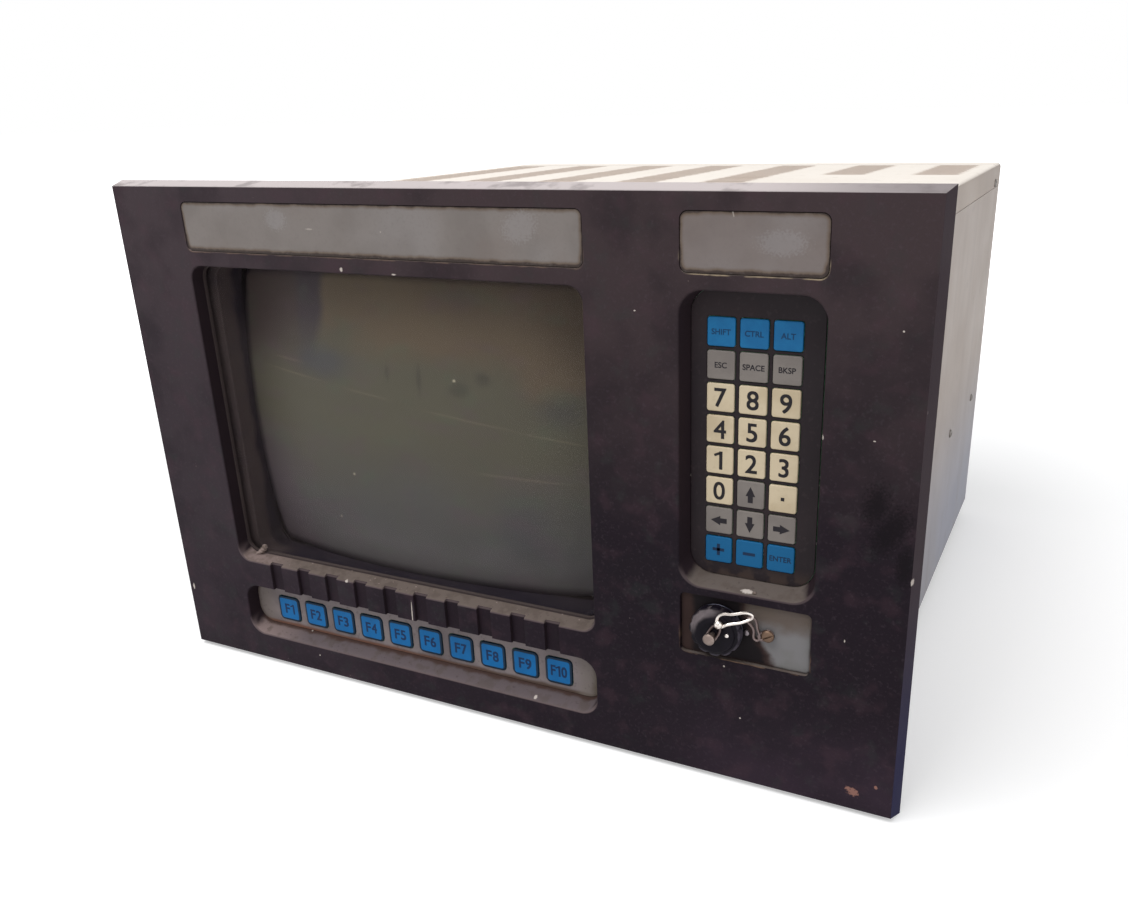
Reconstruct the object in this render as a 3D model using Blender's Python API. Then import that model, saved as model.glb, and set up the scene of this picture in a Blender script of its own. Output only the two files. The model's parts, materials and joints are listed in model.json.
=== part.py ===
"""Rack-size operator panel: a front panel with a picture tube, ten function keys and a
24-key keypad, closed behind by a sheet-metal case. Metres, +Z up, the front faces -Y."""
import math
from collections import namedtuple

import bmesh
import bpy
from mathutils import Matrix, Vector

# Clearances and stock shared by every piece
GAP = 0.0003
OVERRUN = 0.004
SHEET = 0.0015
BOARD = 0.0016
CORNER_STEPS = 4
KEY_CORNER_STEPS = 2
ROUND_STEPS = 32

# Front panel: 19-inch rack width, seven rack units high
PANEL_WIDTH = 0.4826
PANEL_HEIGHT = 0.3104
PANEL_THICK = 0.0104
RIM_SLANT = 0.0029
STUD_RADIUS = 0.0024
STUD_LENGTH = 0.019
STUD_INSET = 0.0195
STUD_END = 0.030
STUD_ROWS = 4
SEAL_INSET = 0.0020
SEAL_WIDTH = 0.0080
SEAL_THICK = 0.0030

# Case behind the panel, with depths counted from the panel's front face
CASE_FOOT = 0.0131
CASE_HEAD = 0.0153
CASE_SIDE = 0.0272
CASE_BACK = 0.4458
CASE_FLANGE = 0.0060
COVER_FLANGE = 0.0167
COVER_BEND = 0.0015
TONGUE_HEIGHT = 0.0105
VENT_COLUMNS = 7
VENT_SIDE = 0.0266
VENT_WIDTH = 0.0280
VENT_SLOT = 0.0035
VENT_SPACING = 0.0125
VENT_REAR = 0.0360
LONG_VENTS = 22
SHORT_VENTS = 9
SHORT_COLUMNS = 2

# Screen pocket, window and picture tube
SCREEN_SIDE = 0.0550
SCREEN_FOOT = 0.0740
SCREEN_HEAD = 0.0474
SCREEN_RADIUS = 0.0085
SCREEN_LEDGE = 0.0035
WINDOW_THICK = 0.0030
WINDOW_LAP = 0.0035
MASK_SIDE = 0.0047
MASK_HEAD = 0.0015
MASK_RADIUS = 0.0100
FRAME_BORDER = 0.0085
FRAME_DEPTH = 0.0300
ARM_DEPTH = 0.2200
ARM_LAP = 0.0100
TUBE_BORDER = 0.0030
TUBE_RADIUS = 0.0200
TUBE_CURVE = 0.5800
TUBE_CLEARANCE = 0.0005
TUBE_NOSE = 0.0010
TUBE_SKIRT = 0.0102
TUBE_WALL = 0.0050
CONE_RADIUS = 0.0340
NECK_RADIUS = 0.0145
CONE_START = 0.1850
CONE_END = 0.2300
NECK_END = 0.3050
YOKE_WALL = 0.0100
YOKE_COLLAR = 0.0060

# Function-key pocket and keys
ROW_FOOT = 0.0209
ROW_HEIGHT = 0.0351
ROW_RADIUS = 0.0110
ROW_LEDGE = 0.0046
FUNCTION_KEYS = 10
FUNCTION_ROW_END = 0.0167
FUNCTION_ROW_SHIFT = 0.0009
FUNCTION_KEY_SPACE = 0.0054
FUNCTION_KEY_HEIGHT = 0.0170
FUNCTION_KEY_RADIUS = 0.0028
FUNCTION_KEY_MARGIN = 0.0005
GROOVE_WIDTH = 0.0095
GROOVE_DEPTH = 0.0025
GROOVE_PITCH = 0.0225
GROOVE_SHIFT = 0.0013

# Keypad pocket and keys
PAD_WIDTH = 0.0707
PAD_SIDE = 0.04755
PAD_LAND = 0.04995
PAD_FOOT = 0.1140
PAD_HEAD = 0.0464
PAD_RADIUS = 0.0120
PAD_SIDE_LEDGE = 0.0027
PAD_LEDGE = 0.0042
PAD_KEYS_SIDE = 0.01105
PAD_KEYS_HEAD = 0.0114
PAD_KEY_SPACE_X = 0.0024
PAD_KEY_SPACE_Z = 0.0021
PAD_KEY_RADIUS = 0.0012
PAD_KEY_MARGIN = 0.0004
PAD_KEYS_SHIFT = 0.0009
PAD_ROWS = (
    ("shift", "ctrl", "alt"),
    ("esc", "space", "backspace"),
    ("7", "8", "9"),
    ("4", "5", "6"),
    ("1", "2", "3"),
    ("0", "up", "point"),
    ("left", "down", "right"),
    ("plus", "minus", "enter"),
)

# Overlays, switch boards and key travel
OVERLAY_THICK = 0.0008
KEY_RISE = 0.0008
KEY_TRAVEL = 0.0005
KEY_EDGE = 0.0004
BOARD_LAP = 0.0030

# Label plates
LABEL_HEAD = 0.0111
LABEL_HEIGHT = 0.0278
LABEL_RADIUS = 0.0040
LABEL_SINK = 0.0004
LABEL_THICK = 0.0010
LEFT_LABEL_SHIFT = 0.0011
LEFT_LABEL_LAP = 0.0003
RIGHT_LABEL_TRIM = 0.0013

# Keyboard connector and its dust cap
CONNECTOR_FOOT = 0.0750
CONNECTOR_HEIGHT = 0.0343
CONNECTOR_RADIUS = 0.0030
CONNECTOR_SINK = 0.0020
CONNECTOR_THICK = 0.0012
SOCKET_SHIFT = 0.0140
SOCKET_RADIUS = 0.0110
SOCKET_BORE = 0.0088
SOCKET_FLANGE = 0.0136
SOCKET_FLANGE_THICK = 0.0014
SOCKET_FRONT = 0.0042
SOCKET_BACK = 0.0300
INSERT_FRONT = 0.0040
CAP_RADIUS = 0.0139
CAP_RING = 0.0044
CAP_CROWN_RADIUS = 0.0112
CAP_CROWN = 0.0068
CAP_FLUTES = 12
CAP_FLUTE_RADIUS = 0.0012
CAP_PLAY = 0.0004
PIN_RADIUS = 0.0015
PIN_HEAD_RADIUS = 0.0031
PIN_HEAD = 0.0026
PIN_REACH = 0.0140
CHAIN_WIRE = 0.0008
CHAIN_SCREW_SHIFT_X = 0.0129
CHAIN_SCREW_SHIFT_Z = 0.0014
CHAIN_SCREW_RADIUS = 0.0034
CHAIN_SCREW_HEAD = 0.0020
CHAIN_SCREW_SHANK = 0.0012

# Rear panel, fan, power supply and boards
REAR_RECESS = 0.0080
REAR_FLANGE = 0.0120
FAN_SIZE = 0.0800
FAN_DEPTH = 0.0250
FAN_SIDE = 0.0926
FAN_HEAD = 0.1051
FAN_BORE = 0.0375
FAN_TIP_CLEARANCE = 0.0015
FAN_HUB = 0.0170
FAN_SHAFT = 0.0030
FAN_BLADES = 7
FAN_BLADE_THICK = 0.0012
FAN_STRUTS = 3
FAN_STRUT_WIDTH = 0.0040
FAN_STRUT_THICK = 0.0030
GRILLE_SLOTS = 8
GRILLE_SLOT = 0.0045
SUPPLY_WIDTH = 0.1300
SUPPLY_HEIGHT = 0.1100
SUPPLY_LENGTH = 0.1500
SUPPLY_SLOTS = 6
SUPPLY_SLOT = 0.0050
ENTRY_WIDTH = 0.0560
ENTRY_HEIGHT = 0.0300
ENTRY_FRONT = 0.0030
ENTRY_DEPTH = 0.0260
ENTRY_X_SHIFT = 0.0150
ENTRY_EDGE = 0.0050
INLET_WIDTH = 0.0250
INLET_HEIGHT = 0.0180
INLET_RADIUS = 0.0030
INLET_DEPTH = 0.0160
INLET_PIN = 0.0012
INLET_PIN_PITCH = 0.0070
INLET_PIN_LENGTH = 0.0110
ROCKER_WIDTH = 0.0130
ROCKER_HEIGHT = 0.0210
ROCKER_RISE = 0.0035
ROCKER_DIP = 0.0020
ROCKER_SINK = 0.0015
ROCKER_SWING = math.radians(16)
ROCKER_PLAY = 0.0005
MAIN_BOARD_LENGTH = 0.2900
MAIN_BOARD_SIDE = 0.0226
SUPPLY_AISLE = 0.0323
MAIN_BOARD_REAR = 0.0060
STANDOFF_RADIUS = 0.0040
STANDOFF_HEIGHT = 0.0080
STANDOFF_INSET = 0.0100
PORT_WIDTH = 0.0390
PORT_HEIGHT = 0.0084
PORT_FLANGE_WIDTH = 0.0530
PORT_FLANGE_HEIGHT = 0.0125
PORT_SEAT = 0.0120
PORT_REACH = 0.0058
PORT_PLAY = 0.0004
PORT_COUNT = 2
PORT_START = 0.0528
PORT_PITCH = 0.0720
SIDE_BOARD_LENGTH = 0.1200
SIDE_BOARD_HEIGHT = 0.1500
SIDE_BOARD_START = 0.0900
SIDE_POST = 0.0050

# The panel's front face along Y, with the origin under the middle of the object's depth
FRONT = (PIN_REACH - CASE_BACK) / 2

# Places that follow from the sizes above
PANEL_BACK = PANEL_THICK + GAP
CASE_WIDTH = PANEL_WIDTH - 2 * CASE_SIDE
CASE_TOP = PANEL_HEIGHT - CASE_HEAD
SEAM = CASE_TOP - COVER_FLANGE
INNER_X = CASE_WIDTH / 2 - SHEET
VENT_PITCH = (CASE_WIDTH - 2 * VENT_SIDE) / (VENT_COLUMNS - 1)
PAD_X = PANEL_WIDTH / 2 - PAD_SIDE - PAD_WIDTH / 2
PAD_HEIGHT = PANEL_HEIGHT - PAD_HEAD - PAD_FOOT
PAD_Z = PAD_FOOT + PAD_HEIGHT / 2
PAD_PITCH_X = (PAD_WIDTH - 2 * PAD_KEYS_SIDE) / len(PAD_ROWS[0])
PAD_PITCH_Z = (PAD_HEIGHT - 2 * PAD_KEYS_HEAD) / len(PAD_ROWS)
PAD_KEY_WIDTH = PAD_PITCH_X - PAD_KEY_SPACE_X
PAD_KEY_HEIGHT = PAD_PITCH_Z - PAD_KEY_SPACE_Z
SCREEN_WIDTH = PANEL_WIDTH - SCREEN_SIDE - PAD_LAND - PAD_WIDTH - PAD_SIDE
SCREEN_X = PANEL_WIDTH / 2 - PAD_SIDE - PAD_WIDTH - PAD_LAND - SCREEN_WIDTH / 2
SCREEN_HEIGHT = PANEL_HEIGHT - SCREEN_HEAD - SCREEN_FOOT
SCREEN_Z = SCREEN_FOOT + SCREEN_HEIGHT / 2
MASK_WIDTH = SCREEN_WIDTH - 2 * MASK_SIDE
MASK_HEIGHT = SCREEN_HEIGHT - 2 * MASK_HEAD
FUNCTION_PITCH = (SCREEN_WIDTH - 2 * FUNCTION_ROW_END) / FUNCTION_KEYS
FUNCTION_KEY_WIDTH = FUNCTION_PITCH - FUNCTION_KEY_SPACE
ROW_Z = ROW_FOOT + ROW_HEIGHT / 2
LABEL_Z = PANEL_HEIGHT - LABEL_HEAD - LABEL_HEIGHT / 2
LEFT_LABEL_X = SCREEN_X + LEFT_LABEL_SHIFT
LEFT_LABEL_WIDTH = SCREEN_WIDTH + LEFT_LABEL_LAP
RIGHT_LABEL_WIDTH = PAD_WIDTH - RIGHT_LABEL_TRIM
CONNECTOR_Z = CONNECTOR_FOOT + CONNECTOR_HEIGHT / 2
SOCKET_X = PAD_X - SOCKET_SHIFT
CHAIN_SCREW_X = PAD_X + CHAIN_SCREW_SHIFT_X
CHAIN_SCREW_Z = CONNECTOR_Z + CHAIN_SCREW_SHIFT_Z
WINDOW_BACK = PANEL_BACK + WINDOW_THICK
FRAME_FRONT = WINDOW_BACK + GAP
OVERLAY_BACK = PANEL_BACK - GAP
OVERLAY_FRONT = OVERLAY_BACK - OVERLAY_THICK
KEY_BACK = PANEL_BACK - KEY_TRAVEL - GAP / 2
REAR_BACK = CASE_BACK - REAR_RECESS
REAR_INSIDE = REAR_BACK - SHEET - GAP
MAIN_BOARD_BACK = REAR_INSIDE - MAIN_BOARD_REAR
FAN_X = FAN_SIDE - INNER_X
FAN_Z = CASE_TOP - FAN_HEAD
MAIN_BOARD_LEFT = MAIN_BOARD_SIDE - INNER_X
MAIN_BOARD_WIDTH = INNER_X - GAP - SUPPLY_WIDTH - SUPPLY_AISLE - MAIN_BOARD_LEFT
MAIN_BOARD_FOOT = CASE_FOOT + SHEET + STANDOFF_HEIGHT + GAP

# A pocket's place and size on the front face, and what its side and lower walls lose on the way back
Pocket = namedtuple("Pocket", "x z width height radius side_ledge ledge")
SCREEN_POCKET = Pocket(SCREEN_X, SCREEN_Z, SCREEN_WIDTH, SCREEN_HEIGHT, SCREEN_RADIUS, 0, SCREEN_LEDGE)
ROW_POCKET = Pocket(SCREEN_X, ROW_Z, SCREEN_WIDTH, ROW_HEIGHT, ROW_RADIUS, 0, ROW_LEDGE)
PAD_POCKET = Pocket(PAD_X, PAD_Z, PAD_WIDTH, PAD_HEIGHT, PAD_RADIUS, PAD_SIDE_LEDGE, PAD_LEDGE)


def clear_scene():
    for item in list(bpy.data.objects):
        bpy.data.objects.remove(item, do_unlink=True)


def material(name, colour, roughness, metallic=0.0, alpha=1.0):
    made = bpy.data.materials.new(name)
    made.use_nodes = True
    shader = made.node_tree.nodes["Principled BSDF"]
    shader.inputs["Base Color"].default_value = (*colour, 1.0)
    shader.inputs["Roughness"].default_value = roughness
    shader.inputs["Metallic"].default_value = metallic
    shader.inputs["Alpha"].default_value = alpha
    return made


def at(x, depth, z):
    """A point given by its depth behind the panel's front face."""
    return Vector((x, FRONT + depth, z))


def place(name, mesh, finish=None, smooth=False):
    """Put a mesh in the scene as a named object."""
    made = bpy.data.objects.new(name, mesh)
    bpy.context.scene.collection.objects.link(made)
    if finish is not None:
        mesh.materials.append(finish)
    if smooth:
        mesh.shade_smooth()
        mesh.set_sharp_from_angle(angle=math.radians(40))
    return made


def to_mesh(bm, name):
    bmesh.ops.recalc_face_normals(bm, faces=bm.faces)
    mesh = bpy.data.meshes.new(name)
    bm.to_mesh(mesh)
    bm.free()
    return mesh


def arc(x, z, radius, start, end, steps):
    """Points of an arc in the XZ plane, both ends included."""
    turn = (end - start) / steps
    return [
        (x + radius * math.cos(start + turn * i), z + radius * math.sin(start + turn * i))
        for i in range(steps + 1)
    ]


def rounded(x, z, width, height, radius, steps=CORNER_STEPS):
    """A rectangle about (x, z) with round corners, counted anticlockwise."""
    dx = width / 2 - radius
    dz = height / 2 - radius
    quarter = math.pi / 2
    points = []
    for i, (sx, sz) in enumerate(((1, 1), (-1, 1), (-1, -1), (1, -1))):
        points += arc(x + sx * dx, z + sz * dz, radius, quarter * i, quarter * (i + 1), steps)
    return points


def circle(x, z, radius, steps=ROUND_STEPS):
    return arc(x, z, radius, 0, math.tau, steps)[:-1]


def rectangle(x, z, width, height):
    dx, dz = width / 2, height / 2
    return [(x + dx, z + dz), (x - dx, z + dz), (x - dx, z - dz), (x + dx, z - dz)]


def flat(outline, depth):
    return [at(x, depth, z) for x, z in outline]


def add_loft(bm, sections):
    """Join rings of equal count point by point, one after another, and close the ends."""
    rings = [[bm.verts.new(point) for point in points] for points in sections]
    for near, far in zip(rings, rings[1:]):
        for i in range(len(near)):
            bm.faces.new((near[i - 1], near[i], far[i], far[i - 1]))
    bm.faces.new(rings[0])
    bm.faces.new(rings[-1])


def loft(name, sections, finish=None, smooth=False):
    bm = bmesh.new()
    add_loft(bm, sections)
    return place(name, to_mesh(bm, name), finish, smooth)


def slab(name, outline, front, back, finish=None):
    """An outline given its thickness, from one depth to another."""
    return loft(name, [flat(outline, front), flat(outline, back)], finish)


def slabs(name, pieces):
    """Several separate slabs in one mesh, as a tool for cutting or joining."""
    bm = bmesh.new()
    for outline, front, back in pieces:
        add_loft(bm, [flat(outline, front), flat(outline, back)])
    return place(name, to_mesh(bm, name))


def block(name, low, high, finish=None):
    """A box between two corners, each given as (x, depth, z)."""
    x = (low[0] + high[0]) / 2
    z = (low[2] + high[2]) / 2
    outline = rectangle(x, z, high[0] - low[0], high[2] - low[2])
    return slab(name, outline, low[1], high[1], finish)


def blocks(name, corners):
    """Several separate boxes in one mesh."""
    pieces = []
    for low, high in corners:
        x = (low[0] + high[0]) / 2
        z = (low[2] + high[2]) / 2
        pieces.append((rectangle(x, z, high[0] - low[0], high[2] - low[2]), low[1], high[1]))
    return slabs(name, pieces)


def turned(name, profile, x, z, finish=None, steps=ROUND_STEPS):
    """Spin a closed profile of (radius, depth) points about the Y axis through (x, z)."""
    bm = bmesh.new()
    verts = [bm.verts.new(at(x + radius, depth, z)) for radius, depth in profile]
    edges = [bm.edges.new((verts[i - 1], verts[i])) for i in range(len(verts))]
    bmesh.ops.spin(
        bm, geom=verts + edges, cent=at(x, 0, z), axis=(0, 1, 0),
        angle=math.tau, steps=steps, use_merge=True,
    )
    bmesh.ops.remove_doubles(bm, verts=bm.verts, dist=GAP / 100)
    loose = [edge for edge in bm.edges if not edge.link_faces]
    bmesh.ops.delete(bm, geom=loose, context="EDGES")
    return place(name, to_mesh(bm, name), finish, smooth=True)


def wire_loop(name, points, radius, smoothing=3):
    """A closed ring of round wire through the given points, as a mesh."""
    curve = bpy.data.curves.new(name, "CURVE")
    curve.dimensions = "3D"
    curve.bevel_depth = radius
    curve.bevel_resolution = 1
    curve.resolution_u = smoothing
    spline = curve.splines.new("BEZIER")
    spline.bezier_points.add(len(points) - 1)
    for knot, point in zip(spline.bezier_points, points):
        knot.co = point
        knot.handle_left_type = "AUTO"
        knot.handle_right_type = "AUTO"
    spline.use_cyclic_u = True
    guide = bpy.data.objects.new(name, curve)
    mesh = bpy.data.meshes.new_from_object(guide)
    bpy.data.objects.remove(guide)
    return place(name, mesh)


def boolean(target, tool, operation):
    """Cut or join with a helper object, which is then only a wire guide."""
    step = target.modifiers.new(tool.name, "BOOLEAN")
    step.operation = operation
    step.object = tool
    tool.hide_render = True
    tool.display_type = "WIRE"


def cut(target, *tools):
    for tool in tools:
        boolean(target, tool, "DIFFERENCE")


def join(target, *tools):
    for tool in tools:
        boolean(target, tool, "UNION")


# Finishes, each with the colour seen on the object
CHARCOAL = material("charcoal_paint", (0.045, 0.036, 0.042), 0.55)
SEAL_RUBBER = material("seal_rubber", (0.02, 0.02, 0.02), 0.85)
LABEL_GREY = material("label_grey", (0.27, 0.26, 0.24), 0.5)
PLATE_GREY = material("connector_plate_grey", (0.22, 0.19, 0.17), 0.6)
STRIP_GREY = material("strip_grey", (0.24, 0.22, 0.19), 0.55)
PAD_BLACK = material("overlay_black", (0.02, 0.018, 0.02), 0.5)
KEY_BLUE = material("key_blue", (0.02, 0.19, 0.52), 0.45)
KEY_GREY = material("key_grey", (0.22, 0.2, 0.19), 0.5)
KEY_CREAM = material("key_cream", (0.72, 0.62, 0.45), 0.5)
BOARD_GREEN = material("board_green", (0.03, 0.16, 0.07), 0.5)
WINDOW_CLEAR = material("window_clear", (0.6, 0.65, 0.6), 0.1, alpha=0.35)
TUBE_GLASS = material("tube_glass", (0.10, 0.11, 0.09), 0.15)
FRAME_BLACK = material("frame_black", (0.015, 0.014, 0.016), 0.6)
COIL_COPPER = material("coil_copper", (0.45, 0.2, 0.08), 0.4, metallic=0.8)
DARK_METAL = material("dark_metal", (0.05, 0.05, 0.06), 0.4, metallic=0.8)
BRIGHT_WIRE = material("bright_wire", (0.75, 0.75, 0.74), 0.25, metallic=1.0)
BRASS = material("brass", (0.55, 0.38, 0.2), 0.35, metallic=1.0)
CASE_PAINT = material("case_paint", (0.5, 0.46, 0.4), 0.5)
COVER_PAINT = material("cover_paint", (0.62, 0.56, 0.47), 0.5)
ZINC = material("zinc_sheet", (0.55, 0.56, 0.56), 0.4, metallic=0.9)
FAN_BLACK = material("fan_black", (0.02, 0.02, 0.02), 0.5)


def row_of_places(middle, pitch):
    """One place for each function key, evenly spread about a middle."""
    start = middle - pitch * (FUNCTION_KEYS - 1) / 2
    return [start + pitch * i for i in range(FUNCTION_KEYS)]


def function_key_places():
    return [(x, ROW_Z) for x in row_of_places(SCREEN_X - FUNCTION_ROW_SHIFT, FUNCTION_PITCH)]


def pad_key_places():
    """Name and centre of each key of the keypad, row by row from the top."""
    columns = len(PAD_ROWS[0])
    left = PAD_X - PAD_KEYS_SHIFT - PAD_PITCH_X * (columns - 1) / 2
    top = PAD_Z - PAD_KEYS_SHIFT + PAD_PITCH_Z * (len(PAD_ROWS) - 1) / 2
    places = []
    for row, names in enumerate(PAD_ROWS):
        for column, name in enumerate(names):
            places.append((name, left + PAD_PITCH_X * column, top - PAD_PITCH_Z * row))
    return places


def pocket_outline(pocket, depth, grow=0):
    """A pocket's outline at a depth behind the front face, grown on every side."""
    share = depth / PANEL_THICK
    side = pocket.side_ledge * share - grow
    rise = pocket.ledge * share
    return rounded(
        pocket.x, pocket.z + rise / 2, pocket.width - 2 * side, pocket.height - rise + 2 * grow,
        pocket.radius + grow)


def stud_places():
    """Centres of the studs along the panel's two side edges."""
    x = PANEL_WIDTH / 2 - STUD_INSET
    pitch = (PANEL_HEIGHT - 2 * STUD_END) / (STUD_ROWS - 1)
    return [(side * x, STUD_END + pitch * row) for side in (-1, 1) for row in range(STUD_ROWS)]


def make_front_panel():
    z = PANEL_HEIGHT / 2
    front = rectangle(0, z, PANEL_WIDTH - 2 * RIM_SLANT, PANEL_HEIGHT - 2 * RIM_SLANT)
    back = rectangle(0, z, PANEL_WIDTH, PANEL_HEIGHT)
    panel = loft("front_panel", [flat(front, 0), flat(back, PANEL_THICK)], CHARCOAL)
    pockets = bmesh.new()
    for pocket in (SCREEN_POCKET, ROW_POCKET, PAD_POCKET):
        add_loft(pockets, [
            flat(pocket_outline(pocket, depth), depth) for depth in (-OVERRUN, PANEL_THICK + OVERRUN)
        ])
    label_floor = LABEL_SINK + LABEL_THICK + GAP
    plate_floor = CONNECTOR_SINK + CONNECTOR_THICK + GAP
    for x, zc, width, height, radius, floor in (
        (LEFT_LABEL_X, LABEL_Z, LEFT_LABEL_WIDTH, LABEL_HEIGHT, LABEL_RADIUS, label_floor),
        (PAD_X, LABEL_Z, RIGHT_LABEL_WIDTH, LABEL_HEIGHT, LABEL_RADIUS, label_floor),
        (PAD_X, CONNECTOR_Z, RIGHT_LABEL_WIDTH, CONNECTOR_HEIGHT, CONNECTOR_RADIUS, plate_floor),
    ):
        outline = rounded(x, zc, width, height, radius)
        add_loft(pockets, [flat(outline, -OVERRUN), flat(outline, floor)])
    cut(panel, place("panel_pockets", to_mesh(pockets, "panel_pockets")))

    land = SCREEN_FOOT - ROW_FOOT - ROW_HEIGHT
    land_z = SCREEN_FOOT - land / 2
    holes = [
        (rectangle(x, land_z, GROOVE_WIDTH, land + 2 * OVERRUN), -OVERRUN, GROOVE_DEPTH)
        for x in row_of_places(SCREEN_X + GROOVE_SHIFT, GROOVE_PITCH)
    ]
    bore = circle(SOCKET_X, CONNECTOR_Z, SOCKET_RADIUS + GAP)
    holes.append((bore, -OVERRUN, PANEL_THICK + OVERRUN))
    shank = circle(CHAIN_SCREW_X, CHAIN_SCREW_Z, CHAIN_SCREW_SHANK + GAP, CORNER_STEPS * 3)
    holes.append((shank, -OVERRUN, PANEL_THICK + OVERRUN))
    cut(panel, slabs("panel_grooves_and_holes", holes))

    studs = [
        (circle(x, z, STUD_RADIUS, CORNER_STEPS * 3),
         PANEL_THICK - STUD_RADIUS, PANEL_THICK + STUD_LENGTH)
        for x, z in stud_places()
    ]
    join(panel, slabs("panel_studs", studs))
    return panel


def make_panel_seal():
    z = PANEL_HEIGHT / 2
    outer = (PANEL_WIDTH - 2 * SEAL_INSET, PANEL_HEIGHT - 2 * SEAL_INSET)
    inner = (outer[0] - 2 * SEAL_WIDTH, outer[1] - 2 * SEAL_WIDTH)
    back = PANEL_BACK + SEAL_THICK
    seal = slab("panel_seal", rectangle(0, z, *outer), PANEL_BACK, back, SEAL_RUBBER)
    cut(seal, slab("seal_window", rectangle(0, z, *inner), 0, back + OVERRUN))


def make_labels():
    trim = 2 * GAP
    for name, x, width in (
        ("left_label_plate", LEFT_LABEL_X, LEFT_LABEL_WIDTH),
        ("right_label_plate", PAD_X, RIGHT_LABEL_WIDTH),
    ):
        outline = rounded(x, LABEL_Z, width - trim, LABEL_HEIGHT - trim, LABEL_RADIUS - GAP)
        slab(name, outline, LABEL_SINK, LABEL_SINK + LABEL_THICK, LABEL_GREY)


def make_window():
    outline = rectangle(
        SCREEN_X, SCREEN_Z, SCREEN_WIDTH + 2 * WINDOW_LAP, SCREEN_HEIGHT + 2 * WINDOW_LAP)
    slab("safety_window", outline, PANEL_BACK, WINDOW_BACK, WINDOW_CLEAR)


def tube_depth(x, z, nose):
    """Depth of the domed tube face at a point, for a given depth of its middle."""
    reach = (x - SCREEN_X) ** 2 + (z - SCREEN_Z) ** 2
    return nose + TUBE_CURVE - math.sqrt(TUBE_CURVE ** 2 - reach)


def tube_outline(grow, share=1.0):
    width = (MASK_WIDTH + 2 * TUBE_BORDER + 2 * grow) * share
    height = (MASK_HEIGHT + 2 * TUBE_BORDER + 2 * grow) * share
    return rounded(SCREEN_X, SCREEN_Z, width, height, (TUBE_RADIUS + grow) * share)


def tube_face(grow, nose):
    """Rings of the domed face, from near its middle out to its edge."""
    face_shares = (0.1, 0.4, 0.7, 0.9, 1.0)
    return [
        [at(x, tube_depth(x, z, nose), z) for x, z in tube_outline(grow, share)]
        for share in face_shares
    ]


def tube_funnel(grow):
    """Rings of the funnel, from the skirt behind the face to the round cone."""
    outline = tube_outline(grow)
    around = len(outline)
    nose = FRAME_FRONT + TUBE_NOSE
    skirt = max(tube_depth(x, z, nose) for x, z in tube_outline(0)) + TUBE_SKIRT
    funnel_shares = (0.0, 0.25, 0.55, 0.85, 1.0)
    rings = []
    for share in funnel_shares:
        depth = skirt + (CONE_START - skirt) * share
        ease = math.sin(share * math.pi / 2) ** 2
        ring = []
        for i, (x, z) in enumerate(outline):
            side = Vector((x - SCREEN_X, z - SCREEN_Z))
            spot = side.lerp(side.normalized() * (CONE_RADIUS + grow), ease)
            ring.append(at(SCREEN_X + spot.x, depth, SCREEN_Z + spot.y))
        rings.append(ring)
    return rings, around


def tube_neck(grow, around, end):
    """Rings of the round cone and the neck, kept in step with the outline's points."""
    steps = tube_outline(grow)
    rings = []
    for radius, depth in ((NECK_RADIUS, CONE_END), (NECK_RADIUS, end)):
        ring = []
        for x, z in steps[:around]:
            side = Vector((x - SCREEN_X, z - SCREEN_Z)).normalized() * (radius + grow)
            ring.append(at(SCREEN_X + side.x, depth, SCREEN_Z + side.y))
        rings.append(ring)
    return rings


def make_picture_tube():
    nose = FRAME_FRONT + TUBE_NOSE
    funnel, around = tube_funnel(0)
    outside = tube_face(0, nose) + funnel + tube_neck(0, around, NECK_END)
    thin_funnel, around = tube_funnel(-TUBE_WALL)
    inside = tube_face(-TUBE_WALL, nose + TUBE_WALL) + thin_funnel
    inside += tube_neck(-TUBE_WALL, around, NECK_END)
    loft("picture_tube", outside + inside[::-1], TUBE_GLASS, smooth=True)


def make_tube_frame():
    width = SCREEN_WIDTH + 2 * FRAME_BORDER
    height = SCREEN_HEIGHT + 2 * FRAME_BORDER
    back = FRAME_FRONT + FRAME_DEPTH
    outline = rounded(SCREEN_X, SCREEN_Z, width, height, MASK_RADIUS)
    frame = slab("tube_frame", outline, FRAME_FRONT, back, FRAME_BLACK)
    mask = rounded(SCREEN_X, SCREEN_Z, MASK_WIDTH, MASK_HEIGHT, MASK_RADIUS)
    cut(frame, slab("mask_opening", mask, FRAME_FRONT - OVERRUN, back + OVERRUN))
    grow = TUBE_CLEARANCE
    face = tube_face(grow, FRAME_FRONT + TUBE_NOSE - grow)
    stern = [at(x, back + OVERRUN, z) for x, z in tube_outline(grow)]
    cut(frame, loft("tube_seat", face + [stern]))
    left = SCREEN_X - width / 2
    arm = block(
        "frame_arm",
        (left, back - OVERRUN, SCREEN_Z - SIDE_BOARD_HEIGHT / 2 - ARM_LAP),
        (left + 2 * SHEET, ARM_DEPTH, SCREEN_Z + SIDE_BOARD_HEIGHT / 2 + ARM_LAP),
    )
    posts = []
    inset = STANDOFF_INSET
    for depth in (SIDE_BOARD_START + inset, SIDE_BOARD_START + SIDE_BOARD_LENGTH - inset):
        for side in (-1, 1):
            z = SCREEN_Z + side * (SIDE_BOARD_HEIGHT / 2 - inset)
            low = (left + SHEET, depth - STANDOFF_RADIUS, z - STANDOFF_RADIUS)
            high = (left + 2 * SHEET + SIDE_POST, depth + STANDOFF_RADIUS, z + STANDOFF_RADIUS)
            posts.append((low, high))
    join(frame, arm, blocks("arm_posts", posts))


def side_board_x():
    return SCREEN_X - SCREEN_WIDTH / 2 - FRAME_BORDER + 2 * SHEET + SIDE_POST + GAP


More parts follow.
